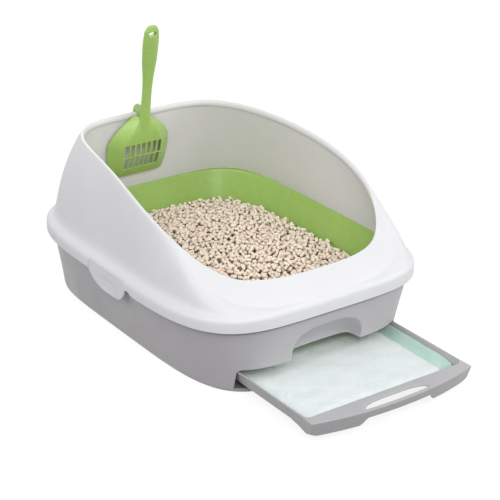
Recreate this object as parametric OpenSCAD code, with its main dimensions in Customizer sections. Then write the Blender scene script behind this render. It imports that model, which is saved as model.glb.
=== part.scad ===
// Drawer litter box: drafted tub, drawer with an absorbent pad, slotted pan with pellets,
// high-backed hood with two side tabs, and a slotted scoop hung on the hood's back rim.
// Millimetres. +X is to the right of someone facing the drawer, +Y is to the back, +Z is up.
// The origin is the middle of the tub's underside. The drawer is drawn out by drawer_out.

/* [Whole box] */
// width over the hood's skirt
overall_width = 394; // [386:1:402]
// length over the hood's skirt
overall_length = 516.5; // [506:0.5:528]
// how far behind the middle the box is widest
widest_behind = 27.4; // [20:0.1:32]
// height of the skirt's lower edge above the floor
skirt_bottom = 100; // [97:0.5:104]
// height of the upright band of the skirt
skirt_height = 19; // [17:0.5:22]
// gap left between pieces that rest on each other
seat_gap = 0.3; // [0.25:0.05:0.5]

/* [Hood] */
// sheet thickness of the hood
hood_wall = 3; // [2.6:0.1:3.4]
// height of the rim at the back
rim_back = 238.2; // [228:0.2:250]
// height of the rim at the front
rim_front = 148.3; // [144:0.1:154]
// width of the sloped sill in front of the opening
sill_width = 31; // [27:0.5:33]
// how far the sill drops from the opening to its outer edge
sill_drop = 25.6; // [23:0.2:27]
// width of the rolled lip round the sides and back
lip_width = 6.6; // [6:0.1:8]
// columns that each ring of the hood is drawn with
hood_columns = 84; // [60:4:96]

/* [Side tabs] */
// length of a side tab along the skirt
tab_length = 94; // [84:1:100]
// middle of a side tab, from the middle of the box
tab_middle = -7; // [-12:1:-2]
// how far a side tab hangs below the skirt
tab_drop = 18.5; // [14:0.5:20]
// slit between a side tab and the skirt
tab_slit = 0.4; // [0.3:0.05:0.8]
// thickness of a side tab
tab_thick = 2.8; // [2.4:0.1:3.2]

/* [Tub] */
// wall thickness of the tub
tub_wall = 3; // [2.6:0.1:3.4]
// how far the tub's sides lean in from top to bottom
tub_lean = 27; // [24:0.5:30]
// height of the drawer opening's upper edge
opening_top = 37.5; // [36.5:0.5:40]
// height of the finger pocket's top
pocket_top = 79.5; // [74:0.5:84]
// half width of the finger pocket
pocket_half = 56; // [50:1:62]
// how deep the finger pocket is pressed in
pocket_depth = 20; // [16:1:24]

/* [Drawer] */
// width of the drawer's front
drawer_width = 259; // [252:1:262]
// length of the tray behind the front shelf
tray_length = 444; // [430:1:446]
// wall thickness of the drawer
drawer_wall = 2.4; // [2:0.1:3]
// height of the drawer's rim above the floor
drawer_top = 34; // [32:0.5:34.5]
// how far the drawer is drawn out at rest
drawer_out = 155; // [120:1:160]
// length of the handle slot
handle_slot = 98; // [80:1:106]
// depth of the shelf that carries the handle slot
shelf_depth = 30; // [27:0.5:33]

/* [Pad] */
// thickness of the pad's quilted top
pad_thick = 4.4; // [3:0.2:6]
// thickness of the pad's backing sheet
backing_thick = 0.8; // [0.6:0.1:1.2]

/* [Pan] */
// wall thickness of the pan
pan_wall = 2.5; // [2.1:0.1:3]
// height of the pan's underside above the floor
pan_bottom = 43; // [41:0.5:46]
// rows of drain slots across the pan
slot_rows = 5; // [3:1:6]
// drain slots in a row
slot_columns = 9; // [5:1:10]
// width of a drain slot
slot_width = 3.4; // [2.4:0.2:4]

/* [Litter] */
// height of the bed at the pan's walls, above the pan's floor
litter_edge = 20; // [14:1:26]
// how much higher the bed is in its middle
litter_heap = 14; // [6:1:20]

/* [Scoop] */
// widest part of the scoop's bowl
scoop_width = 107; // [96:1:110]
// length of the bowl from neck to tip
bowl_length = 101; // [92:1:106]
// deepest part of the bowl
bowl_depth = 16.5; // [14:0.5:20]
// length of the handle above the neck
handle_length = 150; // [110:1:170]
// slots in each of the two rows
scoop_slots = 7; // [5:1:8]

/* [Hidden] */
eps = 0.02;
half_w = overall_width / 2;
half_l = overall_length / 2;
skirt_top = skirt_bottom + skirt_height;
// a ring is [half width, front length, back length, front and back roundness, middle, taper]
skirt = [half_w, half_l + widest_behind, half_l - widest_behind, 4.45, 3.72, widest_behind, 0];
tub_top = [half_w - 6, skirt[1] - 6, skirt[2] - 6, 4.6, 3.72, widest_behind, 0];
tub_foot = [half_w - 6 - tub_lean, half_l + widest_behind - 18.6, half_l - widest_behind - 15,
            4.6, 5, widest_behind, 0];
opening = [half_w - 38.8, half_l - 30.7, half_l - 53, 2.61, 4.71, 5.45, 0.18];
pan_line = [half_w - 15.5, half_l - 30.6, half_l - 30.6, 5.3, 5.3, 7.6, 0];
// the pan's wall is rounder behind than the hood's foot, to clear the tub's corners
pan_wall_ring = [pan_line[0], pan_line[1], pan_line[2], 5.3, 4.6, pan_line[5], 0];
pan_floor_ring = grow(pan_wall_ring, -17);
tub_floor = 4;
drawer_low = 14;
tub_rim = skirt_bottom + 11.5;
flange_low = tub_rim + seat_gap;
flange_high = flange_low + 2.7;
hood_foot = flange_high + seat_gap;
// the rim falls from the back to the front
rim_start = 145.6;
rim_end = -207.7;
rim_curve = 2.52;
rim_soft = 4;
// the sill widens between these two lines across the box
sill_start = -119;
sill_end = -216;

function grow(r, d) = [r[0] + d, r[1] + d, r[2] + d, r[3], r[4], r[5], r[6]];
function mix(a, b, k) = a + (b - a) * k;
function ease(u) = u * u * (3 - 2 * u);
function clip(u) = max(0, min(1, u));

// a point of a ring at one angle: an egg with its own roundness in front and behind
function egg(r, th) =
    let (
        c = cos(th),
        s = sin(th),
        b = s < 0 ? r[1] : r[2],
        n = s < 0 ? r[3] : r[4],
        d = pow(pow(abs(c) / r[0], n) + pow(abs(s) / b, n), -1 / n)
    )
    [c * d * (1 - r[6] * s * d / b), r[5] + s * d];

function egg_normal(r, th) =
    let (p = egg(r, th - 0.5), q = egg(r, th + 0.5), v = q - p, m = norm(v))
    [v[1] / m, -v[0] / m];

// a ring's point moved outwards by w, at height z
function at(r, th, w, z) =
    let (p = egg(r, th), n = egg_normal(r, th))
    [p[0] + n[0] * w, p[1] + n[1] * w, z];

function rim_height(y) =
    let (
        u = max(0, (rim_start - y) / (rim_start - rim_end)),
        z = rim_back - (rim_back - rim_front + 6.6) * pow(u, rim_curve)
    )
    rim_front + rim_soft * ln(1 + exp((z - rim_front) / rim_soft));

function sill_part(y) = ease(clip((sill_start - y) / (sill_start - sill_end)));

// faces between rings of n points; capped ends, or joined round to the first ring
function band_faces(rings, n, joined) = [
    for (i = [0:1:(joined ? rings - 1 : rings - 2)], j = [0:1:n - 1], k = [0, 1])
        let (
            i2 = (i + 1) % rings,
            j2 = (j + 1) % n
        )
        k == 0 ? [i * n + j, i2 * n + j, i2 * n + j2] : [i * n + j, i2 * n + j2, i * n + j2]
];

module loft(rings, joined = false) {
    n = len(rings[0]);
    m = len(rings);
    ends = joined ? [] : [middle(rings[0]), middle(rings[m - 1])];
    points = concat([for (r = rings) each r], ends);
    caps = joined ? [] : [
        for (j = [0:1:n - 1], k = [0, 1])
            let (j2 = (j + 1) % n)
            k == 0 ? [m * n, j, j2] : [m * n + 1, (m - 1) * n + j2, (m - 1) * n + j]
    ];
    polyhedron(points = points, faces = concat(band_faces(m, n, joined), caps), convexity = 8);
}

function middle(ring, i = 0, sum = [0, 0, 0]) =
    i == len(ring) ? sum / len(ring) : middle(ring, i + 1, sum + ring[i]);

function ring_at(r, w, z, n) = [for (i = [0:1:n - 1]) at(r, i * 360 / n, w, z)];

// ---- hood ----
// one upright section through the hood, as a closed line of points
function hood_section(th) =
    let (
        e = egg(opening, th),
        s = sill_part(e[1]),
        z = rim_height(e[1]),
        w = mix(lip_width, sill_width, s),
        foot = at(skirt, th, mix(-13, -3.8, s), skirt_top + mix(6, 1.8, s)),
        crease = at(opening, th, w, z + mix(1, -sill_drop, s)),
        pull = [mix(foot[0], crease[0], 0.28), mix(foot[1], crease[1], 0.28), mix(foot[2], crease[2], 0.62)],
        inner_top = at(opening, th, 2.6, z - 7),
        inner_low = at(pan_line, th, 0, hood_foot),
        back_low = at(pan_line, th, hood_wall, hood_foot),
        back_top = at(opening, th, 2.6 + hood_wall, z - 7),
        under = at(opening, th, w - hood_wall - 1, z + mix(0, -sill_drop - hood_wall + 1, s)),
        low_under = at(skirt, th, -hood_wall - 5, skirt_top - 1)
    )
    [
        at(skirt, th, -0.6, skirt_bottom),
        at(skirt, th, 0, skirt_bottom + 1),
        at(skirt, th, 0, skirt_top - mix(7.5, 4, s)),
        at(skirt, th, -1.3, skirt_top - mix(3.2, 1.2, s)),
        at(skirt, th, mix(-5.4, -2.4, s), skirt_top + mix(0.6, 0.4, s)),
        foot,
        bend(foot, pull, crease, 0.25),
        bend(foot, pull, crease, 0.5),
        bend(foot, pull, crease, 0.75),
        crease,
        at(opening, th, mix(lip_width * 0.7, w * 0.86, s), z + mix(3.2, -sill_drop * 0.86 + 1.4, s)),
        at(opening, th, mix(lip_width * 0.3, w * 0.4, s), z + mix(2.8, -sill_drop * 0.4 + 1.6, s)),
        at(opening, th, 0, z),
        at(opening, th, 0.2, z - 4.4),
        inner_top,
        mix(inner_top, inner_low, 0.5),
        inner_low,
        back_low,
        mix(back_low, back_top, 0.05 + 0.87 * s),
        mix(low_under, under, s),
        at(skirt, th, -hood_wall, skirt_top - 4),
        at(skirt, th, -hood_wall, skirt_bottom)
    ];

function bend(a, b, c, t) = a * (1 - t) * (1 - t) + b * 2 * t * (1 - t) + c * t * t;

module hood_shell() {
    sections = [for (i = [0:1:hood_columns - 1]) hood_section(i * 360 / hood_columns)];
    m = len(sections[0]);
    loft([for (k = [0:1:m - 1]) [for (c = sections) c[k]]], joined = true);
}

// a side tab's outline from its middle, seen from the side: the lobe is full towards the front
function tab_outline(d) =
    let (h = tab_length / 2 + d, steps = 16)
    concat(
        [
            [-h, skirt_height - 2.5 - tab_bead + d],
            for (i = [0:1:steps])
                let (u = -cos(180 * i / steps), n = u < 0 ? 6 : 2.3)
                [h * u, -(tab_drop + d) * pow(1 - pow(abs(u), n), 0.8)],
            [h, skirt_height - 2.5 - tab_bead + d]
        ]
    );
tab_bead = tab_thick / 2;
tab_hinge_z = skirt_bottom + skirt_height - 2.5 - tab_bead;

module tab_block(d, inside, outside) {
    translate([half_w - inside, tab_middle, skirt_bottom])
        rotate([90, 0, 90])
            linear_extrude(inside + outside)
                polygon(tab_outline(d));
}

// the place that a tab swings in, with the finger notch at its front end
module tab_place() {
    tab_block(tab_slit, 9, 20);
    translate([half_w - 9, tab_middle - tab_length / 2 - tab_slit, skirt_bottom])
        rotate([90, 0, 90])
            linear_extrude(29)
                polygon([[0.1, -1], [0.1, 2], [-7, 4.4], [-9, 4.4], [-26, -1]]);
    // room for the bead that the tab swings on
    translate([half_w - 9, tab_middle - tab_length / 2 - tab_slit, tab_hinge_z - 1])
        cube([29, tab_length + 2 * tab_slit, 1 + tab_bead + tab_slit]);
}

module hood() {
    color([0.86, 0.86, 0.87])
        difference() {
            hood_shell();
            tab_place();
            mirror([1, 0, 0])
                tab_place();
        }
}

// ---- side tabs ----
module tab() {
    color([0.86, 0.86, 0.87]) {
        difference() {
            tab_block(0, tab_thick, 0);
            // thumb dish in the lobe
            translate([half_w + 59, tab_middle, skirt_bottom - 7])
                sphere(r = 60, $fn = 96);
        }
        // bead along the upper edge, which the tab swings on
        translate([half_w - tab_bead, tab_middle + tab_length / 2, tab_hinge_z])
            rotate([90, 0, 0])
                cylinder(r = tab_bead, h = tab_length, $fn = 32);
        // grip ribs above the dish
        for (k = [-1, 0, 1])
            translate([half_w - 0.5, tab_middle - 7 + k * 6, skirt_bottom + 0.5])
                cylinder(r = 1, h = 9, $fn = 24);
    }
}

module latch_left() {
    mirror([1, 0, 0])
        tab();
}

module latch_right() {
    tab();
}

// ---- tub ----
tub_columns = 64;
front_wall = -half_l + 15;

module tub_shell() {
    loft([
        ring_at(tub_foot, -6, 0, tub_columns),
        ring_at(tub_foot, -1.6, 1.8, tub_columns),
        ring_at(tub_foot, 0, 6, tub_columns),
        ring_at(tub_top, 0, tub_rim - 1, tub_columns),
        ring_at(tub_top, -0.6, tub_rim, tub_columns),
        ring_at(tub_top, -tub_wall, tub_rim, tub_columns),
        ring_at(tub_foot, -tub_wall, 8, tub_columns),
        ring_at(tub_foot, -tub_wall - 4, tub_floor, tub_columns)
    ]);
}

function arch(half, low, high, steps) = [
    for (i = [0:1:steps])
        let (a = 180 - 180 * i / steps, c = cos(a), s = sin(a))
        [half * sign(c) * pow(abs(c), 0.72), low + (high - low) * pow(s, 0.62)]
];

// the face of the tub's front wall at x and z
function tub_face(x, z) =
    let (
        k = (z - 6) / (tub_rim - 7),
        a = mix(tub_foot[0], tub_top[0], k),
        b = mix(tub_foot[1], tub_top[1], k),
        n = mix(tub_foot[3], tub_top[3], k)
    )
    widest_behind - b * pow(max(0, 1 - pow(abs(x) / a, n)), 1 / n);

// how far the hole under the pocket's panel reaches above the drawer opening
pocket_hole = 6.5;

module pocket_shell() {
    steps = 20;
    outer = arch(pocket_half + 1, opening_top - 1.5, pocket_top + 1, steps);
    inner = arch(pocket_half - 3, opening_top - 1.5, opening_top + pocket_hole, steps);
    rings = [
        for (k = [0:1:3])
            let (u = k / 3, v = sin(90 * u))
            [for (i = [0:1:steps])
                let (p = mix(outer[i], inner[i], u))
                [p[0], tub_face(outer[i][0], outer[i][1]) + 1.2 + pocket_depth * v, p[1]]]
    ];
    back = [for (k = [3:-1:0]) [for (p = rings[k]) [p[0], p[1] + 2.2, p[2] + 1.2]]];
    all = concat(rings, back);
    n = steps + 1;
    m = len(all);
    faces = [
        for (k = [0:1:m - 1], i = [0:1:steps - 1], t = [0, 1])
            let (k2 = (k + 1) % m)
            t == 0 ? [k * n + i, k2 * n + i + 1, k2 * n + i] : [k * n + i, k * n + i + 1, k2 * n + i + 1]
    ];
    ends = [[for (k = [0:1:m - 1]) k * n], [for (k = [m - 1:-1:0]) k * n + steps]];
    polyhedron(points = [for (r = all) each r], faces = concat(faces, ends), convexity = 6);
}

opening_half = drawer_width / 2 + 1.1;

module drawer_opening() {
    r = 6;
    for (side = [-1, 1])
        hull() {
            translate([side * (opening_half - r), front_wall + 90, opening_top - r])
                rotate([90, 0, 0])
                    cylinder(r = r, h = 140, $fn = 24);
            translate([-4, front_wall - 50, tub_floor + 2])
                cube([8, 140, opening_top - tub_floor - 2]);
            translate([side * (opening_half - 1) - 1, front_wall - 50, tub_floor + 2])
                cube([2, 140, 4]);
        }
}

module pocket_cut() {
    translate([0, front_wall + 6, 0])
        rotate([90, 0, 0])
            linear_extrude(40)
                polygon(concat(
                    [[-pocket_half + 0.5, opening_top - 3]],
                    arch(pocket_half - 0.5, opening_top - 1, pocket_top - 0.5, 20),
                    [[pocket_half - 0.5, opening_top - 3]]
                ));
}

runner_half = 96;
runner_top = drawer_low - seat_gap;
guide_x = opening_half + 1.1;
// the rails' two ends and the break between their two lengths
rail_front = front_wall + 29;
rail_back = half_l - 58;
rail_break = rail_front + 194;

module runner(x, width, top, y0, y1) {
    hull() {
        translate([x - width / 2, y0, tub_floor - 0.5])
            cube([width, y1 - y0, 1]);
        translate([x - width / 2 + 0.8, y0 + 2, top - 1])
            cube([width - 1.6, y1 - y0 - 4, 1]);
    }
}

module base() {
    color([0.66, 0.65, 0.66]) {
        difference() {
            tub_shell();
            drawer_opening();
            pocket_cut();
        }
        pocket_shell();
        for (side = [-1, 1]) {
            // rails that the tray slides on, in two lengths, with a low step between them
            runner(side * runner_half, 8, runner_top, rail_front, rail_break);
            runner(side * runner_half, 8, runner_top, rail_break + 8, rail_back);
            runner(side * guide_x, 3, drawer_top - 6, rail_front + 8, rail_break + 80);
            runner(side * guide_x, 3, drawer_top - 6, rail_break + 90, rail_back - 4);
        }
    }
}

// ---- drawer ----
tray_half = drawer_width / 2 - 0.4;
closed_front = front_wall - 2.4;
front_y = closed_front - drawer_out;
tray_front = front_y + shelf_depth;
tray_back = tray_front + tray_length;
bow = 17;
corner_steps = 7;
side_lean = 6.5;
// outer corner radius where the tray meets the shelf
tray_corner = 2;
front_lean = 17;

// a rounded rectangle with half sizes a and b, corner radius r behind and rf in front
function box_ring(a, b, yc, z, r, rf) = [
    for (k = [0:1:3], i = [0:1:corner_steps])
        let (
            th = k * 90 + 90 * i / corner_steps,
            sx = k == 0 || k == 3 ? 1 : -1,
            sy = k < 2 ? 1 : -1,
            q = k < 2 ? r : rf
        )
        [sx * (a - q) + q * cos(th), yc + sy * (b - q) + q * sin(th), z]
];

// a level ring at height z, d inside the tray's outer faces, with corner radius r behind and rf
// in front; df is the same inset at the front
function tray_ring(z, d, r, rf = 0, df = 0) =
    let (
        k = 1 - clip((z - drawer_low) / (drawer_top - drawer_low)),
        front = tray_front + front_lean * k + (df == 0 ? d : df),
        back = tray_back - side_lean * k - d
    )
    box_ring(tray_half - side_lean * k - d, (back - front) / 2, (back + front) / 2, z, r, rf == 0 ? r : rf);

module tray() {
    w = drawer_wall;
    loft([
        tray_ring(drawer_low, 1.5, 12),
        tray_ring(drawer_low + 1.5, 0.2, 13),
        tray_ring(drawer_top - 3, 0.7, 15, tray_corner),
        tray_ring(drawer_top - 2.4, 0, 16, tray_corner),
        tray_ring(drawer_top - 0.4, 0, 16, tray_corner),
        tray_ring(drawer_top, 0.5, 15.5, tray_corner),
        tray_ring(drawer_top, w, 13.6),
        tray_ring(drawer_top - 2, w + 0.4, 13),
        tray_ring(drawer_low + 4, w, 10.6),
        tray_ring(drawer_low + 2.2, w + 2, 9)
    ]);
}

function front_bow(x) = front_y + bow * pow(abs(x) / (drawer_width / 2), 2.2);

// the shelf's plan, shrunk by d at its front and by side at its sides
function shelf_plan(d, back, side = 0) = [
    for (i = [0:1:24])
        let (x = (i / 12 - 1) * (drawer_width / 2 - side))
        [x, front_bow(x) + d],
    [drawer_width / 2 - side, back],
    [-drawer_width / 2 + side, back]
];

// the front's outline as seen from the front: two feet with the raised part between them
foot_in = 57;
foot_low = 11.5;
grip_low = 23;

module front_outline() {
    h = drawer_width / 2 + 1;
    polygon([
        [-h, drawer_top - 3],
        [-h, foot_low + 9],
        [-h + 2.5, foot_low + 4],
        [-h + 6, foot_low + 1],
        [-h + 11, foot_low],
        [-foot_in - 4, foot_low],
        [-foot_in - 2, foot_low + 1],
        [-foot_in + 3, grip_low - 2],
        [-foot_in + 6, grip_low],
        [foot_in - 6, grip_low],
        [foot_in - 3, grip_low - 2],
        [foot_in + 2, foot_low + 1],
        [foot_in + 4, foot_low],
        [h - 11, foot_low],
        [h - 6, foot_low + 1],
        [h - 2.5, foot_low + 4],
        [h, foot_low + 9],
        [h, drawer_top - 3]
    ]);
}

// the front's skirt: its sides run back along the tray and end on a slant
apron_wall = 3;
apron_side = 2.5;
apron_high_back = tray_front + 34;
apron_low_back = tray_front + 12;

module apron() {
    lean = 0.32 * (drawer_top - foot_low);
    intersection() {
        difference() {
            hull() {
                translate([0, 0, drawer_top - 3])
                    linear_extrude(0.2)
                        polygon(shelf_plan(0, apron_high_back));
                translate([0, 0, foot_low - 1])
                    linear_extrude(0.2)
                        polygon(shelf_plan(lean, apron_low_back, apron_side));
            }
            hull() {
                translate([0, 0, drawer_top - 2.9])
                    linear_extrude(0.2)
                        polygon(shelf_plan(apron_wall, apron_high_back + 20, apron_wall));
                translate([0, 0, foot_low - 2])
                    linear_extrude(0.2)
                        polygon(shelf_plan(lean + apron_wall, apron_high_back + 20, apron_side + apron_wall));
            }
        }
        translate([0, apron_high_back + 40, 0])
            rotate([90, 0, 0])
                linear_extrude(160)
                    front_outline();
    }
}

// the handle slot's near edge lies slot_land behind the front, and its far edge bulges by slot_deep
slot_land = 7;
slot_deep = 10.5;

// the slot's plan, grown by d at its ends and far edge
function slot_plan(d) =
    let (h = handle_slot / 2 + d, steps = 12)
    [
        for (i = [0:1:2 * steps])
            let (u = i / steps - 1)
            [h * u, front_bow(h * u) + slot_land - 0.2 * d],
        for (i = [2 * steps - 1:-1:1])
            let (u = i / steps - 1, bulge = pow(1 - pow(abs(u), 2.6), 0.6))
            [h * u, front_bow(h * u) + slot_land - 0.2 * d + (slot_deep + 1.2 * d) * bulge]
    ];

module drawer() {
    color([0.7, 0.69, 0.7]) {
        tray();
        difference() {
            translate([0, 0, drawer_top - 3])
                linear_extrude(3)
                    polygon(shelf_plan(0, tray_front + 1));
            translate([0, 0, drawer_top - 5])
                linear_extrude(6)
                    polygon(slot_plan(0));
            // shallow dish round the slot, for the fingers
            hull() {
                translate([0, 0, drawer_top - 1.6])
                    linear_extrude(0.2)
                        polygon(slot_plan(0.4));
                translate([0, 0, drawer_top + 0.2])
                    linear_extrude(0.2)
                        polygon(slot_plan(5));
            }
        }
        apron();
    }
}

// ---- pad ----
pad_low = drawer_low + 2.2 + seat_gap;
film_off = drawer_wall + 2.6;

// how far the film is turned up the tray's walls
film_turn = 13;

module pad_backing() {
    t = backing_thick;
    color([0.62, 0.84, 0.76])
        loft([
            tray_ring(pad_low, film_off + 1.6, 22),
            tray_ring(pad_low + film_turn, film_off - 1.2, 28, 28, film_off - 1.8),
            tray_ring(pad_low + film_turn, film_off - 1.2 + t, 27, 27, film_off - 1.8 + t),
            tray_ring(pad_low + t, film_off + 1.6 + t, 21)
        ]);
}

// the quilted top reaches the front wall, and leaves a strip of film bare at the sides and back
module pad_top() {
    z = pad_low + backing_thick + seat_gap;
    color([0.84, 0.91, 0.9])
        loft([
            tray_ring(z, film_off + 10, 20, 20, film_off + 5),
            tray_ring(z + 1, film_off + 9, 21, 21, film_off + 4),
            tray_ring(z + 2, film_off + 10.2, 20, 20, film_off + 4.2),
            tray_ring(z + pad_thick - 0.3, film_off + 16, 16, 16, film_off + 7),
            tray_ring(z + pad_thick, film_off + 22, 12, 12, film_off + 12)
        ]);
}

// ---- pan ----
pan_columns = 56;
flange_ring = grow(tub_top, -0.4);

module pan_shell() {
    w = pan_wall;
    n = pan_columns;
    loft([
        ring_at(pan_floor_ring, w - 8, pan_bottom, n),
        ring_at(pan_floor_ring, w - 2, pan_bottom + 2.4, n),
        ring_at(pan_floor_ring, w, pan_bottom + 8, n),
        ring_at(pan_wall_ring, w, flange_low - 2, n),
        ring_at(pan_wall_ring, w + 0.6, flange_low, n),
        ring_at(flange_ring, 0, flange_low, n),
        ring_at(flange_ring, 0, flange_high, n),
        ring_at(pan_wall_ring, 1, flange_high, n),
        ring_at(pan_wall_ring, 0, flange_high - 1.2, n),
        ring_at(pan_floor_ring, 0, pan_bottom + 9, n),
        ring_at(pan_floor_ring, -2.4, pan_bottom + 4, n),
        ring_at(pan_floor_ring, -8, pan_bottom + w, n)
    ]);
}

module pan() {
    pitch_x = 2 * (pan_floor_ring[0] - 22) / slot_columns;
    pitch_y = 2 * (pan_floor_ring[1] - 26) / slot_rows;
    color([0.52, 0.74, 0.3])
        difference() {
            pan_shell();
            for (i = [0:1:slot_columns - 1], j = [0:1:slot_rows - 1])
                hull()
                    for (s = [-1, 1])
                        translate([
                            (i - (slot_columns - 1) / 2) * pitch_x,
                            pan_line[5] + (j - (slot_rows - 1) / 2) * pitch_y + s * (pitch_y / 2 - 9),
                            pan_bottom - 2
                        ])
                            cylinder(r = slot_width / 2, h = pan_wall + 4, $fn = 8);
        }
}

// ---- litter ----
litter_low = pan_bottom + pan_wall + seat_gap;

module litter() {
    n = 48;
    steps = [1, 0.94, 0.84, 0.7, 0.54, 0.36, 0.18];
    wall_k = (litter_edge - 6) / (flange_high - pan_bottom - 9);
    edge = grow(pan_floor_ring, 17 * wall_k - 1.1);
    function ripple(i, k, u) = u * (1.3 * sin(i * 67 + k * 131) + 0.9 * cos(i * 151 - k * 47));
    function bed(i, k, u) =
        let (
            p = at(edge, i * 360 / n, 0, 0),
            q = [p[0] * u, pan_line[5] + (p[1] - pan_line[5]) * u],
            z = litter_low + litter_edge + litter_heap * (1 - pow(u, 2.2))
        )
        [q[0], q[1], z + (k == 0 ? 0 : ripple(i, k, u))];
    color([0.9, 0.83, 0.7])
        loft(concat(
            [ring_at(pan_floor_ring, -10, litter_low, n), ring_at(pan_floor_ring, -2, litter_low + 7, n)],
            [for (k = [0:1:len(steps) - 1]) [for (i = [0:1:n - 1]) bed(i, k, steps[k])]],
            [[for (i = [0:1:n - 1]) bed(i, 7, 0.04)]]
        ));
}

// ---- scoop ----
// drawn upright with its back on the plane y = 0 and its neck at z = 0, then leant on the hood
scoop_lean = 11;
scoop_x = -8;
// how far the scoop's back hangs in front of the rim's middle, to clear the curved rim when lifted
scoop_clear = 2.8;
scoop_back = opening[5] + opening[2] - scoop_clear;
scoop_wall = 2.2;
scoop_slot = 4.8;
rows = 14;
cols = 16;

// half width, half width of the flat front, and depth of the bowl at u, from neck (0) to tip (1)
function bowl_half(u) =
    let (top = scoop_width / 2)
    u < 0.5 ? mix(10.5, top, sin(180 * u)) : top - 8.5 * pow((u - 0.5) / 0.5, 2.4);
function bowl_flat(u) = mix(0.62, 0.8, ease(clip((u - 0.5) / 0.5)));
function bowl_deep(u) =
    u < 0.4 ? mix(bowl_depth + 1.5, bowl_depth, ease(u / 0.4)) : mix(bowl_depth, 3.2, pow((u - 0.4) / 0.6, 2));

// one row across the bowl: up the sloping side, over the front and down the other side
function bowl_row(u, less) =
    let (
        a = bowl_half(u) - less,
        d = max(0.3, bowl_deep(u) - less),
        f = bowl_flat(u),
        z = -u * bowl_length
    )
    [for (j = [0:1:cols])
        let (t = 2 * j / cols - 1, k = abs(t), v = clip((k - 0.36) / 0.64))
        [a * sign(t) * (k < 0.36 ? f * k / 0.36 * 0.9 : mix(0.9 * f, 1, pow(v, 1.25))),
         -d * (1 - pow(v, 1.7)), z]];

module bowl_shell() {
    outer = [for (i = [0:1:rows]) bowl_row(i / rows, 0)];
    inner = [for (i = [rows:-1:0]) bowl_row(i / rows, scoop_wall)];
    all = concat(outer, inner);
    n = cols + 1;
    m = len(all);
    faces = [
        for (k = [0:1:m - 1], i = [0:1:cols - 1], t = [0, 1])
            let (k2 = (k + 1) % m)
            t == 0 ? [k * n + i, k2 * n + i + 1, k2 * n + i] : [k * n + i, k * n + i + 1, k2 * n + i + 1]
    ];
    ends = [
        for (k = [0:1:rows - 1], t = [0, 1], e = [0, 1])
            let (
                col = e == 0 ? 0 : cols,
                a = k * n + col,
                b = (k + 1) * n + col,
                c = (m - 2 - k) * n + col,
                d = (m - 1 - k) * n + col
            )
            e == 0 ? (t == 0 ? [a, c, d] : [a, b, c]) : (t == 0 ? [a, d, c] : [a, c, b])
    ];
    polyhedron(points = [for (r = all) each r], faces = concat(faces, ends), convexity = 6);
}

module handle() {
    n = 20;
    // height, half width, half thickness, middle
    stations = [
        [-20, 11, 4, -12.4],
        [-8, 9.4, 4.2, -12.8],
        [6, 8.4, 4.4, -13.2],
        [40, 7.9, 4.4, -13.4],
        [62, 8.6, 4.4, -13.4],
        [80, 10.8, 4.4, -13.4],
        [96, 12.8, 4.5, -13.4],
        [handle_length - 24, 13.6, 4.6, -13.4],
        [handle_length - 9, 12, 4.2, -13.4],
        [handle_length - 2, 8, 3.2, -13.4],
        [handle_length, 3, 1.6, -13.4]
    ];
    loft([
        for (p = stations)
            [for (i = [0:1:n - 1])
                let (c = cos(i * 360 / n), s = sin(i * 360 / n))
                [p[1] * sign(c) * pow(abs(c), 0.75), p[3] + p[2] * sign(s) * pow(abs(s), 0.75), p[0]]]
    ]);
}

// the hook springs from the back of the handle, arches over the lip and comes down behind it
hook_width = 10;
hook_rise = 16;

module hook() {
    over = lip_width + scoop_clear + 2.7;
    under = 2.3;
    steps = 8;
    rotate([90, 0, 90])
        translate([0, 0, -hook_width / 2])
            linear_extrude(hook_width)
                polygon(concat(
                    [[-14, -4], [-14, hook_rise]],
                    [
                        for (i = [0:1:steps])
                            let (a = 90 - 90 * i / steps)
                            [-4 + (over + 6) * cos(a), (hook_rise + 1.4) * sin(a)]
                    ],
                    [
                        [over + 1.8, -7],
                        [over - 0.4, -7.4],
                        [over - 1.2, under - 1],
                        [over - 2.6, under],
                        [-0.6, under],
                        [-1.4, under - 1.4],
                        [-2, -2]
                    ]
                ));
}

module scoop_upright() {
    difference() {
        bowl_shell();
        for (row = [0, 1], i = [0:1:scoop_slots - 1]) {
            span = scoop_width - 42 - row * 3;
            x = (i - (scoop_slots - 1) / 2) * span / scoop_slots;
            high = -bowl_length * (row == 0 ? 0.43 : 0.645);
            low = -bowl_length * (row == 0 ? 0.61 : 0.82);
            translate([x - scoop_slot / 2, -bowl_depth - 10, low])
                cube([scoop_slot, bowl_depth + 9, high - low]);
        }
    }
    difference() {
        handle();
        translate([0, 10, handle_length - 13])
            rotate([90, 0, 0])
                hull()
                    for (s = [-1, 1])
                        translate([s * 3, 0, 0])
                            cylinder(r = 3.2, h = 40, $fn = 24);
    }
    hook();
}

module scoop() {
    color([0.5, 0.7, 0.28])
        translate([scoop_x, scoop_back, rim_back + 0.4])
            rotate([scoop_lean, 0, 0])
                scoop_upright();
}

base();
drawer();
pad_backing();
pad_top();
pan();
litter();
hood();
latch_left();
latch_right();
scoop();
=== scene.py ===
"""Drawer litter box: the looks of each piece, built around the CAD frame.

Lengths inside the shape functions are millimetres in the row frame (+X right of someone
facing the drawer, +Y to the back, +Z up); meshes are made in metres by new_mesh().
"""

import math
from collections import namedtuple

import bmesh
import bpy
import numpy as np
from mathutils import Matrix, Vector


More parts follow.
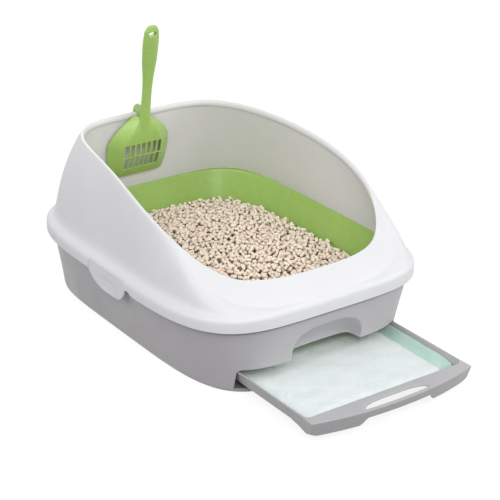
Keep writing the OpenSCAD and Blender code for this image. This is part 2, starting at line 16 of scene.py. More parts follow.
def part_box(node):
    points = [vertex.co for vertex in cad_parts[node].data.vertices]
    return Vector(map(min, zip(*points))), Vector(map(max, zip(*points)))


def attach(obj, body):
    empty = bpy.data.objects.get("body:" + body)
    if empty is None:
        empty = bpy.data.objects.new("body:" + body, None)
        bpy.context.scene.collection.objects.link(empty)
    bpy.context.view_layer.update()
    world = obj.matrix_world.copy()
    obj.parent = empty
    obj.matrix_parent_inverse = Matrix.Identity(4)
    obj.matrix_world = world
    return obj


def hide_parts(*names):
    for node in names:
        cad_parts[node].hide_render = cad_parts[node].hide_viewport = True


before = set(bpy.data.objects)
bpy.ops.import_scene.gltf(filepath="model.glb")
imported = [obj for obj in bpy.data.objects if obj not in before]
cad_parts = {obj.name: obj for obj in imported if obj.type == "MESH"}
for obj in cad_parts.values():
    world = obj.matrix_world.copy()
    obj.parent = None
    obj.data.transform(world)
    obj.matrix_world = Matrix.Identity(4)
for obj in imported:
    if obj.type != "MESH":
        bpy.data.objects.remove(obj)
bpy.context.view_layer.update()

MM = 0.001


def box_mm(node):
    """Lowest and highest corner of a CAD node, in millimetres."""
    low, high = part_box(node)
    return np.array(low) / MM, np.array(high) / MM


def mix(a, b, k):
    """The value k of the way from a to b."""
    return a + (b - a) * k


def ease(u):
    """From 0 to 1 with a soft start and end, as u goes from 0 to 1."""
    u = np.clip(u, 0, 1)
    return u * u * (3 - 2 * u)


def grow(ring, d):
    """The ring with its half sizes made larger by d."""
    return ring._replace(half=ring.half + d, front=ring.front + d, back=ring.back + d)


# ---- sizes, from the frame where it knows them ----
HOOD_LOW, HOOD_HIGH = box_mm("hood")
DRAWER_LOW, DRAWER_HIGH = box_mm("drawer")
PAN_LOW, PAN_HIGH = box_mm("pan")
LITTER_LOW, LITTER_HIGH = box_mm("litter")
FILM_LOW, FILM_HIGH = box_mm("pad_backing")
PAD_LOW, PAD_HIGH = box_mm("pad_top")
TAB_LOW, TAB_HIGH = box_mm("latch_right")
SCOOP_LOW, SCOOP_HIGH = box_mm("scoop")

HALF_W = HOOD_HIGH[0]
HALF_L = (HOOD_HIGH[1] - HOOD_LOW[1]) / 2
# how far behind the middle of its length the box is widest
WIDEST = 27.4
SEAT_GAP = 0.3
SKIRT_HEIGHT = 19.0
SKIRT_BOTTOM = HOOD_LOW[2]
SKIRT_TOP = SKIRT_BOTTOM + SKIRT_HEIGHT
HOOD_WALL = 3.0
RIM_BACK = 238.2
RIM_FRONT = 148.3
# where the rim starts to fall, and over what length
RIM_BEND = 145.6
RIM_RUN = 353.3
SILL_WIDTH = 31.0
SILL_DROP = 25.6
LIP_WIDTH = 6.6
TUB_RIM = box_mm("base")[1][2]
TUB_WALL = 3.0
TUB_FLOOR = 4.0
TUB_INSET = 6.0
TUB_LEAN = 27.0
FLANGE_LOW = TUB_RIM + SEAT_GAP
FLANGE_HIGH = PAN_HIGH[2]
HOOD_FOOT = FLANGE_HIGH + SEAT_GAP
PAN_BOTTOM = PAN_LOW[2]
PAN_WALL = 2.5
# how far the pan's wall leans in, and how high over the pan's underside it starts
PAN_LEAN = 17.0
PAN_ROUND = 9.0

# a ring in plan: half width, lengths to the front and the back, their roundness, middle and taper
Ring = namedtuple("Ring", "half front back n_front n_back middle taper")
SKIRT = Ring(HALF_W, HALF_L + WIDEST, HALF_L - WIDEST, 4.45, 3.72, WIDEST, 0)
OPENING = Ring(HALF_W - 38.8, HALF_L - 30.7, HALF_L - 53, 2.61, 4.71, 5.45, 0.18)
PAN_LINE = Ring(HALF_W - 15.5, HALF_L - 30.6, HALF_L - 30.6, 5.3, 5.3, 7.6, 0)
PAN_WALL_RING = PAN_LINE._replace(n_back=4.6)
PAN_FLOOR_RING = grow(PAN_WALL_RING, -PAN_LEAN)
TUB_TOP = grow(SKIRT, -TUB_INSET)._replace(n_front=4.6)
TUB_FOOT = Ring(TUB_TOP.half - TUB_LEAN, HALF_L + WIDEST - 18.6, HALF_L - WIDEST - 15, 4.6, 5, WIDEST, 0)


def egg(ring, th):
    """Points of a ring at the angles th, in plan."""
    a, front, back, n_front, n_back, middle, taper = ring
    c, s = np.cos(th), np.sin(th)
    b = np.where(s < 0, front, back)
    n = np.where(s < 0, n_front, n_back)
    d = ((np.abs(c) / a) ** n + (np.abs(s) / b) ** n) ** (-1 / n)
    return np.stack([c * d * (1 - taper * s * d / b), middle + s * d], -1)


def egg_normal(ring, th):
    """The way out of a ring at the angles th, in plan."""
    v = egg(ring, th + 0.006) - egg(ring, th - 0.006)
    v /= np.linalg.norm(v, axis=-1, keepdims=True)
    return np.stack([v[..., 1], -v[..., 0]], -1)


def at(ring, th, w, z):
    """Ring points moved out by w, at height z. w and z are numbers or one value per angle."""
    plan = egg(ring, th) + egg_normal(ring, th) * np.reshape(np.broadcast_to(w, th.shape), (-1, 1))
    return np.column_stack([plan, np.broadcast_to(z, th.shape)])


def rim_height(y):
    """Height of the hood's rim, which falls from the back and levels out softly at the front."""
    soft = 4
    fall = np.maximum(0, (RIM_BEND - y) / RIM_RUN) ** 2.52
    over = RIM_BACK - RIM_FRONT - (RIM_BACK - RIM_FRONT + 6.6) * fall
    return RIM_FRONT + soft * np.log1p(np.exp(np.minimum(over / soft, 40)))


def sill_part(y):
    """0 where the rim is a narrow lip, 1 where it is the broad front sill."""
    return ease((-119 - y) / 97)


def even_angles(ring, count, extra=None):
    """Angles that share out a ring's length and its turning, with more where extra says so."""
    th = np.linspace(0, 2 * math.pi, 7201)
    p = egg(ring, th)
    step = np.diff(p, axis=0)
    length = np.linalg.norm(step, axis=1)
    heading = np.unwrap(np.arctan2(step[:, 1], step[:, 0]))
    turning = np.abs(np.diff(heading, append=heading[-1]))
    weight = length / length.sum() + 0.8 * turning / turning.sum()
    if extra is not None:
        weight = weight * (1 + extra((p[1:] + p[:-1]) / 2))
    total = np.concatenate([[0], np.cumsum(weight)])
    return np.interp(np.arange(count) / count * total[-1], total, th)


# ---- mesh helpers ----
def new_mesh(name, points, faces, smooth=True):
    """An object from points in millimetres."""
    mesh = bpy.data.meshes.new(name)
    mesh.from_pydata((np.asarray(points, float) * MM).tolist(), [], faces)
    mesh.validate()
    mesh.update()
    if smooth:
        mesh.shade_smooth()
    else:
        mesh.shade_flat()
    obj = bpy.data.objects.new(name, mesh)
    bpy.context.scene.collection.objects.link(obj)
    return obj


def new_body(name, points, faces, smooth=True):
    """As new_mesh(), for a closed body, with its faces made to look outwards."""
    obj = new_mesh(name, points, faces, smooth)
    bm = bmesh.new()
    bm.from_mesh(obj.data)
    bmesh.ops.recalc_face_normals(bm, faces=bm.faces)
    bm.to_mesh(obj.data)
    bm.free()
    return obj


def grid_faces(rows, cols, loop_rows=False, loop_cols=True, first=0):
    """Quads between rows of points, from the point numbered first on."""
    faces = []
    for i in range(rows if loop_rows else rows - 1):
        a, b = first + i * cols, first + (i + 1) % rows * cols
        for j in range(cols if loop_cols else cols - 1):
            j2 = (j + 1) % cols
            faces.append((a + j, a + j2, b + j2, b + j))
    return faces


def corner_curves(corners, before, after, reach, steps):
    """Curves in place of corners (n, m, 3), which reach so far along the sides before and after them."""
    limit = 0.485
    r = np.asarray(reach, float)[None, :, None]
    start, end = (
        (corners + side * np.minimum(r / np.linalg.norm(side, axis=2, keepdims=True), limit))[:, :, None]
        for side in (before, after)
    )
    t = np.linspace(0, 1, steps)[None, None, :, None]
    curve = start * (1 - t) ** 2 + 2 * t * (1 - t) * corners[:, :, None] + end * t ** 2
    return curve.reshape(len(corners), -1, 3)


def rounded(sections, reach, steps=5):
    """Closed sections (n, m, 3) with their corners rounded."""
    before = np.roll(sections, 1, axis=1) - sections
    after = np.roll(sections, -1, axis=1) - sections
    return corner_curves(sections, before, after, reach, steps)


def rounded_open(rings, reach, steps=5):
    """A stack of rings (m, n, 3) with its corners rounded, and its first and last rings as they are."""
    sections = np.transpose(rings, (1, 0, 2))
    inner = sections[:, 1:-1]
    curve = corner_curves(inner, sections[:, :-2] - inner, sections[:, 2:] - inner, reach, steps)
    return np.transpose(np.concatenate([sections[:, :1], curve, sections[:, -1:]], axis=1), (1, 0, 2))


def ring_stack(name, rings):
    """A closed body from rings of points, from its outside bottom round to its inside bottom."""
    rings = np.asarray(rings)
    m, n, _ = rings.shape
    points = list(rings.reshape(-1, 3)) + [rings[0].mean(axis=0), rings[-1].mean(axis=0)]
    faces = grid_faces(m, n)
    for j in range(n):
        j2 = (j + 1) % n
        faces.append((m * n, j2, j))
        faces.append((m * n + 1, (m - 1) * n + j, (m - 1) * n + j2))
    return new_body(name, points, faces)


def slab(name, face, back):
    """A closed body between two grids of points (rows, cols, 3)."""
    rows, cols, _ = face.shape
    size = rows * cols
    faces = grid_faces(rows, cols, loop_cols=False)
    faces += [tuple(i + size for i in f[::-1]) for f in faces]
    rim = [*range(cols), *range(2 * cols - 1, size, cols)]
    rim += [*range(size - 2, size - cols - 1, -1), *range(size - 2 * cols, 0, -cols)]
    faces += [(a, a + size, b + size, b) for a, b in zip(rim, rim[1:] + rim[:1])]
    return new_body(name, np.concatenate([face.reshape(-1, 3), back.reshape(-1, 3)]), faces)


def prism(name, axis, *parts):
    """One body of straight prisms along x, y or z. Each part is an outline, and where it starts and ends."""
    points, faces = [], []
    for outline, *levels in parts:
        first, n = len(points), len(outline)
        for level in levels:
            points += [{"x": (level, u, v), "y": (u, level, v), "z": (u, v, level)}[axis] for u, v in outline]
        faces += grid_faces(2, n, first=first)
        faces += [tuple(range(first + n - 1, first - 1, -1)), tuple(range(first + n, first + 2 * n))]
    return new_body(name, points, faces, smooth=False)


def apply_modifiers(obj):
    """Bakes an object's modifiers into its mesh."""
    bpy.context.view_layer.update()
    graph = bpy.context.evaluated_depsgraph_get()
    mesh = bpy.data.meshes.new_from_object(obj.evaluated_get(graph))
    old = obj.data
    name = old.name
    obj.modifiers.clear()
    obj.data = mesh
    bpy.data.meshes.remove(old)
    mesh.name = name


def combine(obj, other, operation):
    """Joins another body to obj, or cuts it out, and removes it."""
    mod = obj.modifiers.new("combine", "BOOLEAN")
    mod.operation = operation
    mod.solver = "EXACT"
    mod.object = other
    apply_modifiers(obj)
    mesh = other.data
    bpy.data.objects.remove(other)
    bpy.data.meshes.remove(mesh)


def smooth_by_angle(obj, degrees=35):
    """Smooth shading with sharp edges kept."""
    obj.data.shade_smooth()
    obj.data.set_sharp_from_angle(angle=math.radians(degrees))


def weighted(obj):
    """Keeps large faces flat in shading next to small bevels."""
    mod = obj.modifiers.new("weighted", "WEIGHTED_NORMAL")
    mod.keep_sharp = True
    mod.weight = 80
    apply_modifiers(obj)


def finish_piece(obj, body, slot, material, *nodes):
    """Gives a piece its body and its material, and hides the CAD nodes it stands for; the slot argument is
    not used.
    """
    obj.data.materials.clear()
    obj.data.materials.append(material)
    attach(obj, body)
    if nodes:
        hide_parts(*nodes)


# ---- materials ----
def srgb(r, g, b):
    """A colour as read off a screen, 0 to 255, in linear light."""
    def one(v):
        v /= 255
        return v / 12.92 if v <= 0.04045 else ((v + 0.055) / 1.055) ** 2.4
    return (one(r), one(g), one(b), 1.0)


def set_inputs(tree, node, inputs):
    """Sets a node's inputs to values, or links them to other nodes' outputs."""
    for key, value in inputs.items():
        if hasattr(value, "is_output"):
            tree.links.new(value, node.inputs[key])
        else:
            node.inputs[key].default_value = value


def add_node(tree, kind, inputs, **settings):
    """A node with its settings and inputs."""
    node = tree.nodes.new(kind)
    for key, value in settings.items():
        setattr(node, key, value)
    set_inputs(tree, node, inputs)
    return node


def empty_tree(owner):
    """The node tree of a material or a world, with nothing in it."""
    owner.use_nodes = True
    owner.node_tree.nodes.clear()
    return owner.node_tree


class Look:
    """A material with one principled shader, and short calls for what feeds it."""

    def __init__(self, name):
        self.material = bpy.data.materials.new(name)
        self.tree = empty_tree(self.material)
        self.shader = self.add("ShaderNodeBsdfPrincipled")
        self.add("ShaderNodeOutputMaterial", {"Surface": self.shader.outputs["BSDF"]})
        self.coords = self.add("ShaderNodeTexCoord").outputs["Object"]

    def add(self, kind, inputs=None, **settings):
        return add_node(self.tree, kind, inputs or {}, **settings)

    def set(self, inputs):
        """Sets the shader's inputs."""
        set_inputs(self.tree, self.shader, inputs)

    def noise(self, scale, detail, roughness, stretch=None, distortion=0.0):
        vector = self.coords
        if stretch is not None:
            vector = self.add("ShaderNodeMapping", {"Scale": stretch, "Vector": vector}).outputs["Vector"]
        inputs = {"Scale": scale, "Detail": detail, "Roughness": roughness, "Distortion": distortion}
        return self.add("ShaderNodeTexNoise", {**inputs, "Vector": vector}).outputs["Fac"]

    def ramp(self, fac, low, high, from_low, from_high):
        """fac stretched from one range to another, and clamped."""
        inputs = {"Value": fac, "To Min": low, "To Max": high, "From Min": from_low, "From Max": from_high}
        return self.add("ShaderNodeMapRange", inputs).outputs["Result"]

    def blend(self, fac, a, b):
        """A colour between a and b; each is a colour or a socket."""
        return self.add("ShaderNodeMix", {0: fac, 6: a, 7: b}, data_type="RGBA").outputs[2]

    def math(self, operation, *values):
        return self.add("ShaderNodeMath", dict(enumerate(values)), operation=operation).outputs[0]

    def bump(self, height, distance, strength, after=None):
        """Raises the shading by a height, on top of the bump that came before."""
        inputs = {"Height": height, "Distance": distance, "Strength": strength}
        if after is not None:
            inputs["Normal"] = after
        normal = self.add("ShaderNodeBump", inputs).outputs["Normal"]
        self.set({"Normal": normal})
        return normal


def moulded_plastic(name, light, dark, roughness, grain):
    """Satin injection-moulded plastic: fine spark-eroded grain, faint flow marks and uneven gloss."""
    n = Look(name)
    drift = n.ramp(n.noise(9, 3, 0.6), 0.0, 0.75, 0.3, 0.7)
    tone = n.math("MULTIPLY_ADD", n.noise(210, 2, 0.5), 0.25, drift)
    scuff = n.ramp(n.noise(38, 5, 0.7), roughness - 0.05, roughness + 0.07, 0.35, 0.65)
    n.set({"Base Color": n.blend(tone, light, dark), "Roughness": scuff})
    n.set({"IOR": 1.48, "Specular IOR Level": 0.42})
    first = n.bump(n.noise(1500, 1, 0.5), 0.00004, grain)
    n.bump(n.noise(26, 2, 0.5), 0.0006, 0.10, first)
    return n.material


WHITE = moulded_plastic("white_satin", srgb(229, 229, 231), srgb(224, 224, 226), 0.44, 0.35)
GREY = moulded_plastic("grey_satin", srgb(188, 185, 187), srgb(182, 179, 182), 0.42, 0.4)
# painted shade: the drawer's grey is the tub's plastic made a little darker for its place low by the floor
DRAWER_GREY_SHADED = moulded_plastic("drawer_satin_shaded", srgb(183, 181, 183), srgb(176, 174, 176), 0.4, 0.4)
GREEN = moulded_plastic("pan_green", srgb(167, 201, 111), srgb(158, 193, 101), 0.27, 0.3)
SCOOP_GREEN = moulded_plastic("scoop_green", srgb(172, 205, 116), srgb(162, 197, 104), 0.24, 0.25)


def pellet_material():
    """Pressed pellets: each its own cream to tan, mealy, with painted shade that makes it darker the deeper
    it lies.
    """
    n = Look("pellets")
    island = n.add("ShaderNodeNewGeometry").outputs["Random Per Island"]
    base = n.blend(island, srgb(255, 246, 234), srgb(255, 234, 216))
    meal = n.noise(900, 4, 0.7)
    colour = n.blend(n.ramp(meal, 0.0, 0.3, 0.35, 0.75), base, srgb(252, 230, 208))
    # painted shade: the brown colour darkens the pellets that lie deep among the others
    painted_shade_depth = n.add("ShaderNodeAttribute", attribute_name="painted_shade_depth").outputs["Fac"]
    colour = n.blend(n.ramp(painted_shade_depth, 0.0, 0.85, 0.25, 1.0), colour, srgb(100, 74, 52))
    n.set({"Base Color": colour, "Roughness": 0.82, "Specular IOR Level": 0.25})
    n.bump(meal, 0.0003, 0.6)
    return n.material


def bed_material():
    """What shows between the pellets: painted shade, dust and broken pellets."""
    n = Look("pellet_bed")
    crumbs_and_shade = n.noise(420, 5, 0.75)
    # the dark end is painted shade between the pellets, the pale end dust and broken pellets
    colour = n.blend(n.ramp(crumbs_and_shade, 0.0, 1.0, 0.42, 0.66), srgb(84, 64, 48), srgb(200, 172, 140))
    n.set({"Base Color": colour, "Roughness": 0.95})
    n.bump(crumbs_and_shade, 0.002, 0.8)
    return n.material


def nonwoven_material():
    """The pad's top: a thin nonwoven with point bonds and random fibres over a pale core."""
    n = Look("pad_nonwoven")
    cloudy = n.noise(34, 4, 0.6)
    colour = n.blend(n.ramp(cloudy, 0, 1, 0.35, 0.7), srgb(232, 238, 238), srgb(223, 232, 231))
    fibre_a = n.noise(150, 5, 0.75, stretch=(14, 1.4, 3), distortion=1.2)
    fibre_b = n.noise(150, 5, 0.75, stretch=(1.6, 11, 3), distortion=1.6)
    fibres = n.math("MAXIMUM", fibre_a, fibre_b)
    colour = n.blend(n.ramp(fibres, 0, 0.5, 0.55, 0.8), colour, srgb(240, 243, 243))
    cells = {"Vector": n.coords, "Scale": 430, "Randomness": 0.25}
    bonds = n.add("ShaderNodeTexVoronoi", cells, feature="F1")
    n.set({"Base Color": colour, "Roughness": 0.72, "Specular IOR Level": 0.3})
    n.set({"Sheen Weight": 0.25, "Sheen Roughness": 0.5})
    first = n.bump(bonds.outputs["Distance"], 0.0003, 0.35)
    n.bump(fibres, 0.0004, 0.5, first)
    return n.material


def film_material():
    """The pad's tinted backing film: thin, smooth and a little glossy, with fine creases."""
    n = Look("pad_film")
    cloudy = n.noise(24, 3, 0.6)
    colour = n.blend(n.ramp(cloudy, 0, 1, 0.35, 0.7), srgb(190, 221, 208), srgb(202, 228, 218))
    n.set({"Base Color": colour, "Roughness": 0.38})
    creases = n.noise(70, 5, 0.7, stretch=(1, 0.5, 2), distortion=2.0)
    n.bump(creases, 0.0012, 0.35)
    return n.material


PELLET = pellet_material()
BED = bed_material()
NONWOVEN = nonwoven_material()
FILM = film_material()


# ---- hood ----
TAB_SLIT = 0.3
TAB_FRONT, TAB_BACK = TAB_LOW[1], TAB_HIGH[1]
TAB_MIDDLE = (TAB_FRONT + TAB_BACK) / 2
TAB_HALF = (TAB_BACK - TAB_FRONT) / 2
TAB_TOP = TAB_HIGH[2]
TAB_DROP = SKIRT_BOTTOM - TAB_LOW[2]
TAB_THICK = 2.8


def tab_edge(y):
    """Height of a side tab's lower edge at y."""
    u = np.clip((y - TAB_MIDDLE) / TAB_HALF, -1, 1)
    power = np.where(u < 0, 6, 2.3)
    return SKIRT_BOTTOM - TAB_DROP * np.maximum(1 - np.abs(u) ** power, 0) ** 0.8


def hood_sections(th):
    """Upright sections through the hood at the angles th, and how far each corner is rounded."""
    e = egg(OPENING, th)
    s = sill_part(e[:, 1])
    z = rim_height(e[:, 1])
    w = mix(LIP_WIDTH, SILL_WIDTH, s)
    foot = at(SKIRT, th, mix(-13, -3.8, s), SKIRT_TOP + mix(6, 1.8, s))
    crease = at(OPENING, th, w, z + mix(1, -SILL_DROP, s))
    pull = np.column_stack([mix(foot[:, :2], crease[:, :2], 0.28), mix(foot[:, 2], crease[:, 2], 0.62)])

    def bend(t):
        return foot * (1 - t) ** 2 + pull * 2 * t * (1 - t) + crease * t ** 2

    inner_top = at(OPENING, th, 2.6, z - 7)
    inner_low = at(PAN_LINE, th, 0, HOOD_FOOT)
    back_low = at(PAN_LINE, th, HOOD_WALL, HOOD_FOOT)
    back_top = at(OPENING, th, 2.6 + HOOD_WALL, z - 7)
    under = at(OPENING, th, w - HOOD_WALL - 1, z + mix(0, -SILL_DROP - HOOD_WALL + 1, s))
    low_under = at(SKIRT, th, -HOOD_WALL - 5, SKIRT_TOP - 1)
    k = (0.05 + 0.87 * s)[:, None]
    corners = [
        (at(SKIRT, th, -0.3, SKIRT_BOTTOM), 0.6),
        (at(SKIRT, th, 0, SKIRT_BOTTOM + 1), 0.6),
        (at(SKIRT, th, 0, SKIRT_TOP - mix(7.5, 4, s)), 5),
        (at(SKIRT, th, -1.3, SKIRT_TOP - mix(3.2, 1.2, s)), 5),
        (at(SKIRT, th, mix(-5.4, -2.4, s), SKIRT_TOP + mix(0.6, 0.4, s)), 6),
        (foot, 30),
        (bend(0.2), 30),
        (bend(0.4), 30),
        (bend(0.6), 30),
        (bend(0.8), 30),
        (crease, 12),
        (at(OPENING, th, mix(LIP_WIDTH * 0.7, w * 0.86, s), z + mix(3.2, -SILL_DROP * 0.86 + 1.4, s)), 8),
        (at(OPENING, th, mix(LIP_WIDTH * 0.3, w * 0.4, s), z + mix(2.8, -SILL_DROP * 0.4 + 1.6, s)), 8),
        (at(OPENING, th, 0, z), 1.6),
        (at(OPENING, th, 0.2, z - 4.4), 1.6),
        (inner_top, 4),
        (mix(inner_top, inner_low, 0.34), 20),
        (mix(inner_top, inner_low, 0.67), 20),
        (inner_low, 0.5),
        (back_low, 0.5),
        (back_low * (1 - k) + back_top * k, 5),
        (low_under * (1 - s[:, None]) + under * s[:, None], 5),
        (at(SKIRT, th, -HOOD_WALL, SKIRT_TOP - 4), 2),
        (at(SKIRT, th, -HOOD_WALL, SKIRT_BOTTOM), 0.6),
    ]
    return np.stack([c[0] for c in corners], axis=1), [c[1] for c in corners]


def tab_place():
    """The block that is cut out of the skirt for the right side tab, with its finger notch."""
    front, back, top = TAB_FRONT - TAB_SLIT, TAB_BACK + TAB_SLIT, TAB_TOP + TAB_SLIT
    low = SKIRT_BOTTOM - 1
    outline = [(front - 26, low - 3), (front - 25, low), (front - 9.5, low + 5), (front - 7.5, low + 5.4)]
    outline += [(front, low + 3.4), (front, top), (back, top), (back, low - 3)]
    return prism("cut", "x", (outline, HALF_W - 9, HALF_W + 20))


def mirrored(obj):
    """Turns a body over to the other side of the box."""
    mesh = obj.data
    for v in mesh.vertices:
        v.co.x = -v.co.x
    mesh.flip_normals()
    return obj


def make_hood():
    th = even_angles(SKIRT, 420)
    sections = rounded(*hood_sections(th))
    n, m, _ = sections.shape
    obj = new_body("hood_shell", sections.reshape(-1, 3), grid_faces(n, m, loop_rows=True))
    for place in (tab_place(), mirrored(tab_place())):
        combine(obj, place, "DIFFERENCE")
    smooth_by_angle(obj, 50)
    finish_piece(obj, "hood_unit", "white_plastic", WHITE, "hood")


def skirt_x(y):
    """Half width of the skirt at y."""
    d = y - SKIRT.middle
    b = np.where(d < 0, SKIRT.front, SKIRT.back)
    n = np.where(d < 0, SKIRT.n_front, SKIRT.n_back)
    return SKIRT.half * (1 - (np.abs(d) / b) ** n) ** (1 / n)


def make_tab(name, body, node, left):
    """A springy side tab that carries on the skirt's face: a shallow thumb dish and three short grooves."""
    cols, rows = 97, 37
    rounded_ends = (1 - np.cos(np.linspace(0, math.pi, cols))) / 2
    y = mix(TAB_FRONT, TAB_BACK, mix(np.linspace(0, 1, cols), rounded_ends, 0.25))
    low = tab_edge(y)
    yy = np.repeat(y[None], rows, 0)
    zz = mix(low[None], TAB_TOP, np.linspace(0, 1, rows)[:, None])
    sunk = 0.9 * np.exp(-(((yy - TAB_MIDDLE) / 20) ** 4) - ((zz - SKIRT_BOTTOM + 7) / 9) ** 4)
    for groove in (-5, 0, 5):
        sunk += 0.9 * np.exp(
            -(((yy - TAB_MIDDLE + 7 - groove) / 1.1) ** 4) - ((zz - SKIRT_BOTTOM - 3) / 7) ** 6
        )
    border = np.minimum.reduce([yy - TAB_FRONT, TAB_BACK - yy, zz - low[None], TAB_TOP - zz])
    round_off = 0.35 * np.clip(1 - border / 0.5, 0, 1) ** 2
    outer = np.stack([skirt_x(yy) - sunk - round_off, yy, zz], -1)
    inner = np.stack([skirt_x(yy) - TAB_THICK, yy, zz], -1)
    obj = slab(name, outer, inner)
    if left:
        mirrored(obj)
    smooth_by_angle(obj, 40)
    finish_piece(obj, body, "white_plastic", WHITE, node)


# ---- drawer and pad, sizes ----
DRAWER_HALF, DRAWER_TOP = DRAWER_HIGH[0], DRAWER_HIGH[2]
FRONT_Y, FOOT_LOW = DRAWER_LOW[1], DRAWER_LOW[2]
TRAY_FRONT = FRONT_Y + 30
TRAY_BACK = DRAWER_HIGH[1]
TRAY_HALF = DRAWER_HALF - 0.4
TRAY_LOW = 14.0
DRAWER_WALL = 2.4
SIDE_LEAN = 6.5
FRONT_LEAN = 17.0
FRONT_BOW = 17.0
FRONT_SLOPE = 0.32
GRIP_LOW = 21.6
FOOT_IN = 57.0
HANDLE_SLOT = 103.0
SLOT_LAND = 6.8
SLOT_DEEP = 14.5
# how far inside the tray's outer faces the film stands
FILM_IN = DRAWER_WALL + 2.6

# ---- tub ----
FRONT_WALL = -HALF_L + 15
OPENING_TOP = 37.5
OPENING_HALF = DRAWER_HALF + 1.1
POCKET_HALF = 56.0
POCKET_TOP = 79.5
POCKET_DEPTH = 20.0
POCKET_HOLE_HALF = 52.0
POCKET_HOLE_TOP = 42.6
ARCH_LOW = OPENING_TOP - 1.5
# how square the pocket's arches are, across and upwards
ARCH_ACROSS = 0.72
ARCH_UP = 0.62


def arch_part(x, z):
    """0 on the pocket's outer arch, 1 on the edge of the hole in it, for points of the front wall."""
    low, high = np.full(x.shape, -0.2), np.full(x.shape, 1.2)
    up = np.maximum(z - ARCH_LOW, 0)
    for _ in range(30):
        u = (low + high) / 2
        half = mix(POCKET_HALF + 1, POCKET_HOLE_HALF, u)
        tall = np.maximum(mix(POCKET_TOP + 1, POCKET_HOLE_TOP, u) - ARCH_LOW, 1)
        inside = (np.abs(x) / half) ** (2 / ARCH_ACROSS) + (up / tall) ** (2 / ARCH_UP) < 1
        low = np.where(inside, u, low)
        high = np.where(inside, high, u)
    return (low + high) / 2


def press_pocket(points):
    """Pushes the front wall in over the finger pocket."""
    x, y, z = points[..., 0], points[..., 1], points[..., 2]
    u = arch_part(x, z)
    depth = POCKET_DEPTH * np.sin(np.pi / 2 * np.clip(u, 0, 1)) * ease(u / 0.12)
    near = (y < FRONT_WALL + 60) & (np.abs(x) < POCKET_HALF + 8)
    points[..., 1] += np.where(near, depth, 0)
    return points


def front_density(p):
    """More columns across the finger pocket and the drawer opening."""
    return np.where((p[:, 1] < 0) & (np.abs(p[:, 0]) < 70), 1.6, 0.0)


def tub_rings(th):
    """The tub's rings: its underside, outer wall with the shadow gap, rim, inner wall and floor."""
    foot = at(TUB_FOOT, th, 0, 0)[:, :2]
    top = at(TUB_TOP, th, 0, 0)[:, :2]
    way_out = egg_normal(TUB_TOP, th)

    def ring(k, w, z):
        """A ring k of the way from the foot to the rim, moved out by w."""
        return np.column_stack([mix(foot, top, k) + way_out * w, np.full(len(th), float(z))])

    def wall(z, w=0.0):
        """A ring of the wall at height z, moved out by w."""
        return ring((z - 6) / (TUB_RIM - 7), w, z)

    levels = np.concatenate([np.linspace(6, 26, 6), np.linspace(30, 90, 31), np.linspace(94, TUB_RIM - 1, 4)])
    gap_low, gap_high, gap_deep = SKIRT_BOTTOM - 5.8, SKIRT_BOTTOM - 1.5, 1.7
    gap = [
        (gap_low - 0.4, 0), (gap_low, -0.2), (gap_low + 0.3, -gap_deep),
        (gap_high - 0.3, -gap_deep), (gap_high, -0.2), (gap_high + 0.4, 0),
    ]
    underside = [ring(0, w, z) for w, z in ((-60, 0), (-9, 0), (-5.2, 0.25), (-2.4, 1.5), (-0.7, 3.4))]
    outer = [wall(z) for z in levels if z < gap_low - 0.6]
    outer += [wall(z, w) for z, w in gap]
    outer += [wall(z) for z in levels if z > gap_high + 0.6]
    rim = [ring(1, -0.4, TUB_RIM - 0.2), ring(1, -0.9, TUB_RIM), ring(1, -TUB_WALL + 0.5, TUB_RIM)]
    inner = [wall(z, -TUB_WALL) for z in levels[:0:-1]]
    floor = [(-TUB_WALL, 8), (-TUB_WALL - 1.2, 5.4), (-TUB_WALL - 4, TUB_FLOOR), (-60, TUB_FLOOR)]
    return np.array(underside + outer + rim + inner + [ring(0, w, z) for w, z in floor])


def tub_opening():
    """What is cut out of the front wall: the drawer's opening, and the pocket's hole over it."""
    corner = 6.0
    side = [(OPENING_HALF, TUB_FLOOR + 2)]
    for a in np.linspace(0, math.pi / 2, 9):
        side.append((
            OPENING_HALF - corner + corner * math.cos(a), OPENING_TOP - corner + corner * math.sin(a)
        ))
    a = np.linspace(0, math.pi / 2, 25)
    arch_x = POCKET_HOLE_HALF * np.cos(a) ** ARCH_ACROSS
    arch_z = ARCH_LOW + (POCKET_HOLE_TOP - ARCH_LOW) * np.sin(a) ** ARCH_UP
    arch = [(x, z) for x, z in zip(arch_x, arch_z) if z > OPENING_TOP + 0.4]
    half = side + [(POCKET_HALF + 1.5, OPENING_TOP), (arch[0][0] + 1.2, OPENING_TOP + 0.3)] + arch
    outline = half + [(-x, z) for x, z in half[::-1] if x > 0.01]
    return prism("cut", "y", (outline, FRONT_WALL - 60, FRONT_WALL + 100))


def make_tub():
    th = even_angles(TUB_TOP, 480, front_density)
    obj = ring_stack("tub_shell", press_pocket(tub_rings(th)))
    combine(obj, tub_opening(), "DIFFERENCE")
    smooth_by_angle(obj, 40)
    finish_piece(obj, "tub", "grey_plastic", GREY, "base")


def make_rails():
    """The rails in the tub that the drawer's tray slides on and between, each in two lengths."""
    start, middle, end = FRONT_WALL + 29, FRONT_WALL + 223, HALF_L - 58
    # place from the middle, width and height
    runner = (96, 8, TRAY_LOW - SEAT_GAP)
    guide = (OPENING_HALF + 1.1, 3, DRAWER_TOP - 6)
    rails = [(*runner, start, middle), (*runner, middle + 8, end)]
    rails += [(*guide, start + 8, middle + 80), (*guide, middle + 90, end - 4)]
    points, faces = [], []
    for side in (-1, 1):
        for x, width, top, y0, y1 in rails:
            first = len(points)
            for z, inset in ((TUB_FLOOR - 0.5, 0), (top - 0.5, 0.3), (top, 0.8)):
                x0, x1 = side * x - width / 2 + inset, side * x + width / 2 - inset
                points += [(x0, y0 + inset, z), (x1, y0 + inset, z), (x1, y1 - inset, z), (x0, y1 - inset, z)]
            faces += grid_faces(3, 4, first=first)
            faces += [tuple(first + i for i in end_face) for end_face in ((3, 2, 1, 0), (8, 9, 10, 11))]
    obj = new_body("tub_rails", points, faces, smooth=False)
    finish_piece(obj, "tub", "grey_plastic", GREY)


